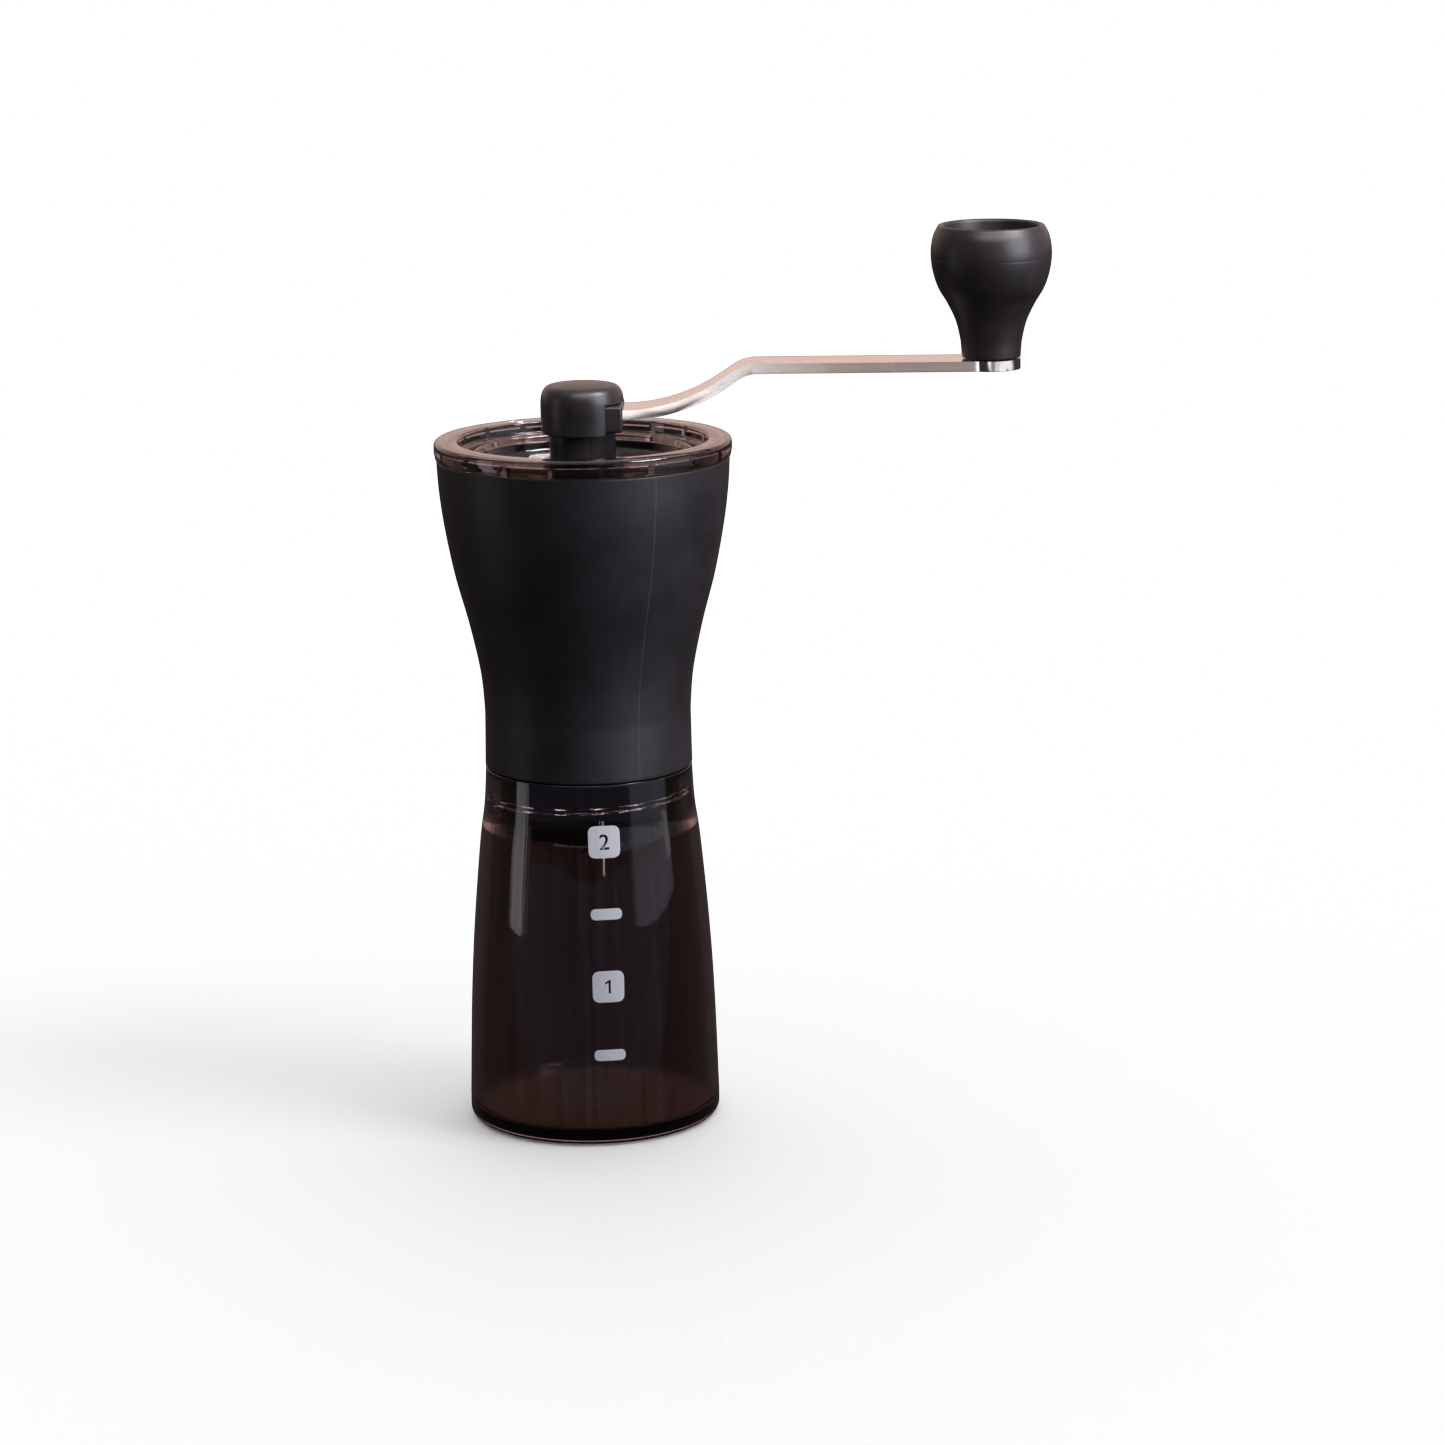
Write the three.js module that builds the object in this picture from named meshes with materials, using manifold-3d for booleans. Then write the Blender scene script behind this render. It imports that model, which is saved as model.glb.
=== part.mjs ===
// A hand crank coffee grinder: a clear jar, a black hopper screwed onto it, a ceramic burr pair on a
// steel shaft, a clear lid, and a lift-off crank with a spinning knob.
// Millimetres, +Z up. The origin is the centre of the jar's foot, and the crank points along +X.

import * as THREE from 'three';
import { mergeVertices } from 'three/addons/utils/BufferGeometryUtils.js';
import Module from 'manifold-3d';

const wasm = await Module();
wasm.setup();

// Clearances
const gap = 0.3; // between pieces that stand next to each other
const threadGap = 0.4; // round the screw thread of the jar

// Fineness of round shapes
const bodySides = 40;
const knobSides = 32;
const smallSides = 20;
const holeSides = 12;
const bendSteps = 3;
const jarSideSteps = 9;
const hopperSideSteps = 12;
const knobSideSteps = 10;

// Jar
const jarHeight = 88.9;
const footRadius = 30.9;
const footCorner = 4.2;
const waistRadius = 25.2;
const jarWall = 2.2;
const jarMouthWall = 2.0;
const jarFloor = 3.0;
const jarFloorFillet = 3.0;
const jarLipWall = 0.7;
const sealThickness = 1.3;
const sealWidth = 1.9;

// Hopper
const hopperHeight = 75.7;
const rimRadius = 36.0;
const hopperRimSetback = 0.55; // the hopper's rim stands this far inside the lid's band
const hopperWall = 2.2;
const neckDepth = 15.0;
const neckWall = 2.0;
const throatLedge = 2.5;
const funnelHeight = 18.0;
const coreRecess = 0.4; // how far the retainer sits up inside the mouth of the neck
const bridgeKeyWidth = 3.0;
const bridgeKeyDepth = 1.2;

// Screw thread between the neck and the jar
const threadLead = 4.0;
const threadTurns = 1.5;
const threadHeight = 0.8;
const threadRoot = 1.4;
const threadCrest = 0.9;
const threadTopMargin = 2.2; // from the jar's seal ledge down to the end of its thread
const threadSink = 0.4;
const threadSteps = 24; // for each turn

// Shaft, its bridge and its bushes
const shaftRadius = 3.5;
const hexStep = 0.4; // from the round of the shaft in to the corners of its hexagons
const shaftThreadStep = 0.7; // from the hexagon's corners in to the threaded end
const shaftThreadLength = 10.5;
const bushWall = 1.1;
const bushFlange = 1.0;
const bushLength = 9.0;
const bushFlangeWidth = 2.8;
const bridgeBossWall = 2.0;
const bridgeBossHeight = 24.0;
const bridgeBossDrop = 3.4; // how far the boss hangs below the bridge's ring
const bridgeRingWall = 2.7;
const bridgeRingHeight = 8.4;
const bridgeArmWidth = 3.6;
const bridgeArmHeight = 5.5;
const washerThickness = 0.7;
const washerWidth = 2.4;
const clipThickness = 0.9;
const clipWidth = 2.3;
const clipBite = 0.7; // depth of the groove that holds the clip
const clipOpening = 3.0;

// Burrs
const outerBurrHeight = 22.5;
const outerBurrBaseWall = 4.6;
const outerBurrTopWall = 7.8;
const burrCrownWall = 1.8;
const burrProud = 0.5; // how far the inner burr stands out below the outer one
const carrierWall = 3.6;
const grindGap = 0.5;
const flutes = 7;
const fluteDepth = 1.2;
const fluteTwist = 0.9; // radians from the bottom to the top of a burr
const fluteSteps = 6; // sides for each flute
const burrRows = 5;
const carrierFlange = 2.6;
const carrierFlangeInset = 3.0;
const springHeight = 6.2;
const springWire = 1.0;
const springTurns = 3;
const springSteps = 10; // for each turn
const retainerHeight = 5.2;
const retainerWidth = 4.2;
const coreScrewCount = 3;
const coreScrewRadius = 1.1;
const coreScrewHead = 1.75;
const coreScrewHeadHeight = 1.2;
const coreScrewInset = 1.9; // from the outside of the burr in to the screw's axis
const coreScrewBite = 4.0;

// Adjusting nut
const nutHeight = 5.4;
const nutInset = 1.0; // from the carrier's flange in to the nut's rim
const nutNotches = 12;
const nutNotchRadius = 1.5;

// Lid
const lidBandHeight = 4.2;
const lidBandWall = 1.6;
const lidRimWidth = 5.6;
const lidWebThickness = 1.8;
const lidSkirtDepth = 4.0;
const lidSkirtWall = 1.9;
const lidStepDepth = 2.8;
const lidStepWidth = 4.6;
const lidDishDepth = 6.8;
const lidDishWall = 1.8;
const lidCollarHeight = 1.5;
const lidCollarWall = 1.6;
const lidHubGap = 0.6;
const lidRibs = 18;
const lidRibThickness = 1.8;
const lidCorner = 0.9;

// Crank hub
const hubCheek = 1.5; // beside the arm
const hubNeckDrop = 6.4; // from the top of the lid's rim down to the bottom of the hub
const hubCapWall = 1.7;
const hubCapHeight = 12.1;
const hubCapRoof = 3.7;
const hubCapLift = 1.5; // from the top of the lid's rim up to the cap's edge
const hubCapCorner = 4.4;
const hubCapCrown = 0.9;
const hubTongueInset = 0.2;
const hubTongueRaise = 0.8;
const hubTongueRoof = 0.8; // over the window for the arm
const hubArmSeat = 3.7; // from the cap's edge up to the underside of the arm
const hubShoulder = 2.9; // how far the round shaft reaches into the hub

// Crank arm
const armReach = 98.65;
const armWidth = 12.4;
const armThickness = 2.4;
const armRise = 10.9;
const armBendEnd = 42.2;
const armBendAngle = THREE.MathUtils.degToRad(34);
const armLowerBend = 43.0;
const armUpperBend = 9.0;
const armEyeSwell = 0.8; // how far the eye stands out past the arm's edges

// Knob
const knobHeight = 31.85;
const knobFootRadius = 7.1;
const knobRadius = 14.5;
const knobLipWall = 1.5;
const knobCupDepth = 15.6;
const knobCupFloorWall = 3.3;
const knobWasherThickness = 0.5;
const knobFootWall = 1.2; // round the washer
const axleRadius = 3.0;
const axleHeadWidth = 1.6;
const axleHeadHeight = 1.1;
const knobBushWall = 0.9;
const knobScrewRadius = 1.5;
const knobScrewHeadWidth = 2.0; // past the axle
const knobScrewHeadHeight = 2.0;
const knobScrewLength = 8.0;
const knobScrewSlot = 1.0;

// Heights and radii that follow from the sizes above
const shoulderZ = jarHeight + gap;
const hopperTop = shoulderZ + hopperHeight;
const neckBottom = shoulderZ - gap - neckDepth;
const lidBottom = hopperTop + gap;
const lidTop = lidBottom + lidBandHeight;
const jarBore = waistRadius - jarMouthWall;
const neckRadius = jarBore - threadGap - threadHeight;
const jarLedge = jarHeight - sealThickness - gap;
const jarThreadStart = jarLedge - threadTopMargin - threadLead * threadTurns;
const coreBore = neckRadius - neckWall;
const coreRadius = coreBore - gap;
const retainerBottom = neckBottom + coreRecess;
const retainerTop = retainerBottom + retainerHeight;
const outerBurrBottom = retainerTop + gap;
const outerBurrTop = outerBurrBottom + outerBurrHeight;
const bridgeBottom = outerBurrTop + gap;
const bridgeTop = bridgeBottom + bridgeRingHeight;
const ledgeZ = bridgeTop + gap;
const coreScrewPitch = coreRadius - coreScrewInset;
const bossBottom = bridgeBottom - bridgeBossDrop;
const bossTop = bossBottom + bridgeBossHeight;
const hexRadius = shaftRadius - hexStep;
const shaftThreadRadius = hexRadius - shaftThreadStep;
const bushInner = shaftRadius + gap;
const bushOuter = bushInner + bushWall;
const bossBore = bushOuter + gap;
const bossRadius = bossBore + bridgeBossWall;
const springWasherTop = bossBottom - gap - bushFlange - gap;
const springTop = springWasherTop - washerThickness - gap;
const springBottom = springTop - springHeight;
const carrierTop = springBottom - gap;
const burrTop = springTop + gap;
const burrBottom = outerBurrBottom - burrProud;
const burrBore = hexRadius + 2 * gap + carrierWall + gap;
const burrBaseRadius = coreRadius - outerBurrBaseWall - grindGap;
const burrTopRadius = burrBore + burrCrownWall;
const carrierFlangeRadius = burrBaseRadius - carrierFlangeInset;
const nutRadius = carrierFlangeRadius - nutInset;
const carrierFlangeTop = burrBottom - gap;
const carrierBottom = carrierFlangeTop - carrierFlange;
const nutTop = carrierBottom - gap;
const hexBottom = nutTop + gap;
const thrustWasherBottom = bossTop + gap + bushFlange + gap;
const clipBottom = thrustWasherBottom + washerThickness + gap;
const hubNeckRadius = armWidth / 2 + gap + hubCheek;
const hubCavity = hubNeckRadius + gap;
const hubCapRadius = hubCavity + hubCapWall;
const hubTongueHalfWidth = hubNeckRadius - hubTongueInset;
const hubBottom = lidTop - hubNeckDrop;
const hubCapBottom = lidTop + hubCapLift;
const hubCapTop = hubCapBottom + hubCapHeight;
const hubCapCeiling = hubCapTop - hubCapRoof;
const hubBaseTop = hubCapCeiling - gap;
const armBottom = hubCapBottom + hubArmSeat;
const armTop = armBottom + armThickness;
const hubTongueTop = armTop + gap + hubTongueRoof;
const shaftShoulderZ = hubBottom + hubShoulder;
const shaftTop = hubBaseTop - gap;
const lidOpening = hubNeckRadius + lidHubGap;
const armEyeRadius = armWidth / 2 + armEyeSwell;
const outerArmTop = armTop + armRise;
const outerArmBottom = armBottom + armRise;
const knobWasherBottom = outerArmTop + gap;
const knobBottom = outerArmTop + gap;
const knobRecess = knobWasherBottom + knobWasherThickness + gap;
const knobRecessRadius = knobFootRadius - knobFootWall;
const knobTop = knobBottom + knobHeight;
const cupFloor = knobTop - knobCupDepth;
const axleTop = cupFloor + gap;
const knobBushOuter = axleRadius + gap + knobBushWall;
const knobWasherRadius = knobRecessRadius - gap;
const axleSeat = outerArmBottom + axleHeadHeight;
const axleHeadRadius = axleRadius + axleHeadWidth;

// Solids

function welded(geometry) {
  geometry.deleteAttribute('normal');
  geometry.deleteAttribute('uv');
  const merged = mergeVertices(geometry, 1e-4);
  const corners = [];
  for (let i = 0; i < merged.index.count; i += 3) {
    const [a, b, c] = [0, 1, 2].map((k) => merged.index.getX(i + k));
    if (a !== b && b !== c && c !== a) corners.push(a, b, c);
  }
  merged.setIndex(corners);
  return merged;
}

function solid(geometry) {
  const merged = welded(geometry);
  return new wasm.Manifold(new wasm.Mesh({
    numProp: 3,
    vertProperties: new Float32Array(merged.getAttribute('position').array),
    triVerts: new Uint32Array(merged.index.array),
  }));
}

function geometryOf(body) {
  const mesh = body.getMesh();
  const geometry = new THREE.BufferGeometry();
  geometry.setAttribute('position', new THREE.BufferAttribute(mesh.vertProperties, 3));
  geometry.setIndex(new THREE.BufferAttribute(mesh.triVerts, 1));
  return geometry;
}

// A body of revolution about Z. The outline is a list of [radius, height], taken anticlockwise.
function revolved(outline, sides = smallSides) {
  const points = outline.map(([r, z]) => new THREE.Vector2(r, z));
  return new THREE.LatheGeometry(points, sides).rotateX(Math.PI / 2);
}

function ring(inner, outer, bottom, top, sides = smallSides) {
  return revolved([[inner, bottom], [outer, bottom], [outer, top], [inner, top], [inner, bottom]], sides);
}

function rod(radius, bottom, top, sides = smallSides) {
  const height = top - bottom;
  const cylinder = new THREE.CylinderGeometry(radius, radius, height, sides);
  return cylinder.rotateX(Math.PI / 2).translate(0, 0, bottom + height / 2);
}

function block(x0, x1, y0, y1, z0, z1) {
  const box = new THREE.BoxGeometry(x1 - x0, y1 - y0, z1 - z0);
  return box.translate((x0 + x1) / 2, (y0 + y1) / 2, (z0 + z1) / 2);
}

// Copies of one cutter or boss, spread evenly round Z and joined.
function around(count, makeGeometry, firstAngle = 0) {
  const copies = Array.from({ length: count }, (_, i) => {
    const angle = firstAngle + (i * 2 * Math.PI) / count;
    return solid(makeGeometry().rotateZ(angle));
  });
  return copies.reduce((sum, copy) => sum.add(copy));
}

// Points of a quarter-round from one angle to another, for an outline.
function arc(centreR, centreZ, radius, from, to, steps = bendSteps) {
  return Array.from({ length: steps + 1 }, (_, i) => {
    const angle = THREE.MathUtils.degToRad(from + ((to - from) * i) / steps);
    return [centreR + radius * Math.cos(angle), centreZ + radius * Math.sin(angle)];
  });
}

function smooth(stations, steps) {
  const curve = new THREE.SplineCurve(stations.map(([r, z]) => new THREE.Vector2(r, z)));
  return curve.getPoints(steps).map((p) => [p.x, p.y]);
}

function radiusAt(outline, z) {
  const next = outline.findIndex((point) => point[1] >= z);
  if (next <= 0) return outline[next < 0 ? outline.length - 1 : 0][0];
  const [r0, z0] = outline[next - 1];
  const [r1, z1] = outline[next];
  return r0 + ((r1 - r0) * (z - z0)) / (z1 - z0);
}

// A helical rib: the straight extrusion of its section, wrapped round Z. In the section x runs along
// the axis and y along the radius. Its ends sink into the wall that it stands on.
function helicalRib(section, radius, startZ) {
  const steps = Math.round(threadTurns * threadSteps);
  const outline = new THREE.Shape(section.map(([x, y]) => new THREE.Vector2(x, y)));
  const bar = new THREE.ExtrudeGeometry(outline, { depth: 1, steps, bevelEnabled: false });
  const position = bar.getAttribute('position');
  for (let i = 0; i < position.count; i += 1) {
    const along = position.getZ(i);
    const angle = along * threadTurns * 2 * Math.PI;
    const runOut = Math.min(1, Math.min(along, 1 - along) * threadTurns * 8);
    const isCrest = Math.abs(position.getY(i)) > threadSink + 0.01;
    const r = radius + position.getY(i) * (isCrest ? runOut : 1);
    const z = startZ + position.getX(i) + threadLead * threadTurns * along;
    position.setXYZ(i, r * Math.cos(angle), r * Math.sin(angle), z);
  }
  return bar;
}

function threadSection(direction) {
  const section = [
    [-threadRoot / 2, -threadSink * direction],
    [threadRoot / 2, -threadSink * direction],
    [threadCrest / 2, threadHeight * direction],
    [-threadCrest / 2, threadHeight * direction],
  ];
  return direction > 0 ? section : section.reverse();
}

// Outlines of the jar and the hopper, foot to rim

function jarSide() {
  const swell = footRadius - waistRadius;
  return smooth([
    [footRadius, footCorner],
    [waistRadius + swell * 0.86, jarHeight * 0.33],
    [waistRadius + swell * 0.66, jarHeight * 0.55],
    [waistRadius + swell * 0.32, jarHeight * 0.79],
    [waistRadius + swell * 0.1, jarHeight * 0.895],
    [waistRadius, jarHeight],
  ], jarSideSteps);
}

function hopperSide() {
  const rim = rimRadius - hopperRimSetback;
  const swell = rim - waistRadius;
  const stations = [
    [0.01, 0], [-0.005, 0.13], [0.0, 0.2], [0.08, 0.315], [0.32, 0.47], [0.62, 0.625], [0.84, 0.78],
    [0.955, 0.9], [1, 1],
  ];
  const points = stations.map(([r, z]) => [waistRadius + swell * r, shoulderZ + hopperHeight * z]);
  return smooth(points, hopperSideSteps);
}

// Jar and its seal

function jar() {
  const outer = jarSide();
  const flareTop = jarThreadStart - threadRoot;
  const flareBottom = neckBottom - gap;
  const insideTop = jarFloor + jarFloorFillet + 2;
  const inner = outer.filter(([, z]) => z > insideTop && z < flareBottom).map(([r, z]) => [r - jarWall, z]);
  const floorRadius = radiusAt(outer, insideTop) - jarWall;
  const lipInner = waistRadius - jarLipWall;
  const outline = [
    [0, 0],
    ...arc(footRadius - footCorner, footCorner, footCorner, -90, 0),
    ...outer.slice(1),
    [lipInner, jarHeight],
    [lipInner, jarLedge],
    [jarBore, jarLedge],
    [jarBore, flareTop],
    [radiusAt(outer, flareBottom) - jarWall, flareBottom],
    ...inner.reverse(),
    ...arc(floorRadius - jarFloorFillet, jarFloor + jarFloorFillet, jarFloorFillet, 0, -90),
    [0, jarFloor],
  ];
  const rib = helicalRib(threadSection(-1), jarBore, jarThreadStart);
  return solid(revolved(outline, bodySides)).add(solid(rib));
}

function jarSeal() {
  const outer = waistRadius - jarLipWall - gap;
  const bottom = jarHeight - sealThickness;
  return solid(ring(outer - sealWidth, outer, bottom, jarHeight, bodySides));
}

// Hopper: the outer shell, its funnel, and the threaded neck that holds the grinding core

function hopper() {
  const outer = hopperSide();
  const funnelTop = ledgeZ + funnelHeight;
  const inner = outer.filter(([, z]) => z > funnelTop + 1 && z < hopperTop);
  const rimInner = radiusAt(outer, hopperTop) - hopperWall;
  const throat = coreBore - throatLedge;
  const outline = [
    [coreBore, neckBottom],
    [neckRadius, neckBottom],
    [neckRadius, shoulderZ],
    ...outer,
    [rimInner, hopperTop],
    ...inner.map(([r, z]) => [r - hopperWall, z]).reverse(),
    [radiusAt(outer, funnelTop) - hopperWall, funnelTop],
    [throat, ledgeZ + 1],
    [throat, ledgeZ],
    [coreBore, ledgeZ],
    [coreBore, neckBottom],
  ];
  const rib = helicalRib(threadSection(1), neckRadius, jarThreadStart - threadLead / 2);
  const keyInner = coreBore - bridgeKeyDepth;
  const key = () => block(
    keyInner, coreBore + neckWall / 2, -bridgeKeyWidth / 2, bridgeKeyWidth / 2,
    bridgeBottom + bridgeRingHeight / 2, ledgeZ + gap,
  );
  return solid(revolved(outline, bodySides)).add(solid(rib)).add(around(3, key, Math.PI / 3));
}

// Grinding core: the bridge with its bushes, the outer burr, and the ring and screws that hold it

function shaftBridge() {
  const ringInner = coreRadius - bridgeRingWall;
  const armBox = () => block(
    bossBore + bridgeBossWall / 2, coreRadius - bridgeRingWall / 2,
    -bridgeArmWidth / 2, bridgeArmWidth / 2, bridgeBottom + 1, bridgeBottom + 1 + bridgeArmHeight,
  );
  const keyway = () => block(
    coreRadius - bridgeKeyDepth - gap, coreRadius + 1,
    -bridgeKeyWidth / 2 - gap, bridgeKeyWidth / 2 + gap,
    bridgeBottom + bridgeRingHeight / 2 - gap, bridgeTop + 1,
  );
  const screwHole = () => coreScrewHole(bridgeBottom - 1, bridgeBottom + coreScrewBite + 1);
  const body = solid(ring(ringInner, coreRadius, bridgeBottom, bridgeTop, bodySides))
    .add(solid(ring(bossBore, bossRadius, bossBottom, bossTop)))
    .add(around(3, armBox));
  return body
    .subtract(around(3, keyway, Math.PI / 3))
    .subtract(around(coreScrewCount, screwHole));
}

function coreScrewHole(bottom, top) {
  return rod(coreScrewRadius + gap, bottom, top, holeSides).translate(coreScrewPitch, 0, 0);
}

function bush(flangeUp) {
  const flangeRadius = bushInner + bushFlangeWidth;
  const seat = flangeUp ? bossTop + gap : bossBottom - gap;
  const away = flangeUp ? 1 : -1;
  const outline = [
    [bushInner, seat - away * bushLength],
    [bushOuter, seat - away * bushLength],
    [bushOuter, seat],
    [flangeRadius, seat],
    [flangeRadius, seat + away * bushFlange],
    [bushInner, seat + away * bushFlange],
    [bushInner, seat - away * bushLength],
  ];
  return solid(revolved(flangeUp ? outline : outline.reverse()));
}

// A toothed band of rows: radius(z) and depth(z) give the plain cone and how deep the flutes cut it.
function fluted(rows, side, makeOutline) {
  const sides = flutes * fluteSteps;
  const geometry = revolved(makeOutline(), sides);
  const position = geometry.getAttribute('position');
  for (let i = 0; i < position.count; i += 1) {
    const [x, y, z] = [position.getX(i), position.getY(i), position.getZ(i)];
    const r = Math.hypot(x, y);
    const row = rows.find((item) => Math.abs(item.z - z) < 0.01 && Math.abs(item.r - r) < 0.02);
    if (row) {
      const turn = (Math.atan2(y, x) / (2 * Math.PI) + (fluteTwist * row.share) / (2 * Math.PI)) * flutes;
      const saw = turn - Math.floor(turn + 1e-6);
      const scale = (r + side * row.depth * (1 - saw)) / r;
      position.setXY(i, x * scale, y * scale);
    }
  }
  return geometry;
}

function burrRowsOf(bottom, height, baseRadius, topRadius) {
  return Array.from({ length: burrRows + 1 }, (_, i) => {
    const share = i / burrRows;
    return {
      share,
      z: bottom + height * share,
      r: baseRadius + (topRadius - baseRadius) * share,
      depth: fluteDepth * Math.min(1, 0.25 + share),
    };
  });
}

function innerBurr() {
  const rows = burrRowsOf(burrBottom + 1, burrTop - burrBottom - 1, burrBaseRadius, burrTopRadius);
  const outline = () => [
    [burrBore, burrBottom],
    [burrBaseRadius - 1, burrBottom],
    ...rows.map(({ r, z }) => [r, z]),
    [burrBore, burrTop],
    [burrBore, burrBottom],
  ];
  return solid(fluted(rows.slice(0, -1), -1, outline));
}

function outerBurr() {
  const bottomRadius = burrBaseRadius + grindGap;
  const rows = burrRowsOf(outerBurrBottom, outerBurrHeight, bottomRadius, coreRadius - outerBurrTopWall);
  const outline = () => [
    [bottomRadius, outerBurrBottom],
    [coreRadius, outerBurrBottom],
    [coreRadius, outerBurrTop],
    ...rows.map(({ r, z }) => [r, z]).reverse(),
  ];
  const ringBody = solid(fluted(rows.slice(1), 1, outline));
  const screwHoles = around(coreScrewCount, () => coreScrewHole(outerBurrBottom - 1, outerBurrTop + 1));
  return ringBody.subtract(screwHoles);
}

function burrRetainer() {
  const body = solid(ring(coreRadius - retainerWidth, coreRadius, retainerBottom, retainerTop, bodySides));
  return body.subtract(around(coreScrewCount, () => coreScrewHole(retainerBottom - 1, retainerTop + 1)));
}

function coreScrew(angle) {
  const head = retainerBottom - gap;
  const outline = [
    [0, head - coreScrewHeadHeight],
    [coreScrewHead - 0.4, head - coreScrewHeadHeight],
    [coreScrewHead, head - coreScrewHeadHeight + 0.5],
    [coreScrewHead, head],
    [coreScrewRadius, head],
    [coreScrewRadius, bridgeBottom + coreScrewBite],
    [0, bridgeBottom + coreScrewBite],
  ];
  return solid(revolved(outline, holeSides).translate(coreScrewPitch, 0, 0).rotateZ(angle));
}

// Shaft and what turns with it

function crankShaft() {
  const grooveBottom = clipBottom - gap;
  const grooveTop = clipBottom + clipThickness + gap;
  const shaftBottom = nutTop - shaftThreadLength;
  const roundBottom = springTop + gap;
  const turned = revolved([
    [0, shaftBottom],
    [shaftThreadRadius - 0.5, shaftBottom],
    [shaftThreadRadius, shaftBottom + 0.5],
    [shaftThreadRadius, hexBottom + 1],
    [shaftThreadRadius, roundBottom],
    [shaftRadius, roundBottom],
    [shaftRadius, grooveBottom],
    [shaftRadius - clipBite, grooveBottom],
    [shaftRadius - clipBite, grooveTop],
    [shaftRadius, grooveTop],
    [shaftRadius, shaftShoulderZ],
    [shaftThreadRadius, shaftShoulderZ],
    [shaftThreadRadius, shaftTop - 0.1],
    [0, shaftTop - 0.1],
  ]);
  return solid(turned)
    .add(solid(rod(hexRadius, hexBottom, roundBottom + 1, 6)))
    .add(solid(rod(hexRadius, shaftShoulderZ - 1, shaftTop, 6)));
}

function washer(bottom) {
  return solid(ring(bushInner, bushInner + washerWidth, bottom, bottom + washerThickness));
}

function shaftClip() {
  const inner = shaftRadius - clipBite + gap;
  const body = solid(ring(inner, inner + clipWidth, clipBottom, clipBottom + clipThickness));
  const half = clipOpening / 2;
  const mouth = block(0, inner + clipWidth + 1, -half, half, clipBottom - 1, clipBottom + clipThickness + 1);
  return body.subtract(solid(mouth.rotateZ(Math.PI / 2)));
}

class Helix extends THREE.Curve {
  constructor(radius, bottom, top, turns) {
    super();
    Object.assign(this, { radius, bottom, top, turns });
  }

  getPoint(t) {
    const angle = t * this.turns * 2 * Math.PI;
    const z = this.bottom + (this.top - this.bottom) * t;
    return new THREE.Vector3(this.radius * Math.cos(angle), this.radius * Math.sin(angle), z);
  }
}

function burrSpring() {
  const wire = springWire / 2;
  const coilRadius = shaftRadius + gap + wire + 0.5;
  const path = new Helix(coilRadius, springBottom + wire + 0.05, springTop - wire - 0.05, springTurns);
  const section = new THREE.Shape(new THREE.Path().absarc(0, 0, wire, 0, 2 * Math.PI).getPoints(4).slice(1));
  const coil = new THREE.ExtrudeGeometry(section, { steps: springTurns * springSteps, extrudePath: path });
  return solid(coil);
}

// The plastic core of the inner burr, which slides on the shaft's hexagon
function burrCarrier() {
  const barrel = burrBore - gap;
  const outline = [
    [0, carrierBottom],
    [carrierFlangeRadius - 0.6, carrierBottom],
    [carrierFlangeRadius, carrierBottom + 0.6],
    [carrierFlangeRadius, carrierFlangeTop],
    [barrel, carrierFlangeTop],
    [barrel, carrierTop],
    [0, carrierTop],
  ];
  const bore = rod(hexRadius + 2 * gap, carrierBottom - 1, carrierTop + 1, 6);
  return solid(revolved(outline)).subtract(solid(bore));
}

function adjustingNut() {
  const bottom = nutTop - nutHeight;
  const outline = [
    [0, bottom],
    [nutRadius - 1.2, bottom],
    [nutRadius, bottom + 1.2],
    [nutRadius, nutTop],
    [0, nutTop],
  ];
  const notch = () => rod(nutNotchRadius, bottom - 1, nutTop + 1, 12).translate(nutRadius + 0.5, 0, 0);
  return solid(revolved(outline, bodySides))
    .subtract(around(nutNotches, notch))
    .subtract(solid(rod(shaftThreadRadius + gap, bottom - 1, nutTop + 1, holeSides)));
}

// Lid: a clear dish. Its band stands on the hopper's rim, its skirt goes inside, and small ribs
// stiffen the channel between them.

function lid() {
  const innerRim = rimRadius - lidRimWidth;
  const bandInner = rimRadius - lidBandWall;
  const skirtOuter = rimRadius - hopperRimSetback - hopperWall - 1.5 * gap;
  const skirtInner = skirtOuter - lidSkirtWall;
  const stepZ = lidTop - lidStepDepth;
  const dishZ = lidTop - lidDishDepth;
  const dishRadius = innerRim - lidStepWidth;
  const underStep = stepZ - lidWebThickness;
  const underDish = dishZ - lidDishWall;
  const outline = [
    [bandInner, lidBottom],
    [rimRadius - 0.3, lidBottom],
    [rimRadius, lidBottom + lidBandHeight * 0.4],
    ...arc(rimRadius - lidCorner, lidTop - lidCorner, lidCorner, 0, 90),
    [innerRim + 0.5, lidTop],
    [innerRim, lidTop - 0.5],
    [innerRim - 0.3, stepZ],
    [dishRadius + 0.6, stepZ],
    [dishRadius, stepZ - 0.6],
    [dishRadius - 0.8, dishZ + 0.8],
    [dishRadius - 1.6, dishZ],
    [lidOpening + lidCollarWall, dishZ],
    [lidOpening + lidCollarWall, dishZ + lidCollarHeight],
    [lidOpening, dishZ + lidCollarHeight],
    [lidOpening, underDish],
    [dishRadius - 0.2, underDish],
    [dishRadius + 1.2, underStep],
    [skirtInner, underStep],
    [skirtInner, lidBottom - lidSkirtDepth],
    [skirtOuter, lidBottom - lidSkirtDepth],
    [skirtOuter, lidTop - lidWebThickness],
    [bandInner, lidTop - lidWebThickness],
    [bandInner, lidBottom],
  ];
  const half = lidRibThickness / 2;
  const rib = () => block(skirtOuter - 0.5, bandInner + 0.5, -half, half, lidBottom, lidTop - 1);
  return solid(revolved(outline, bodySides)).add(around(lidRibs, rib));
}

// Crank

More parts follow.
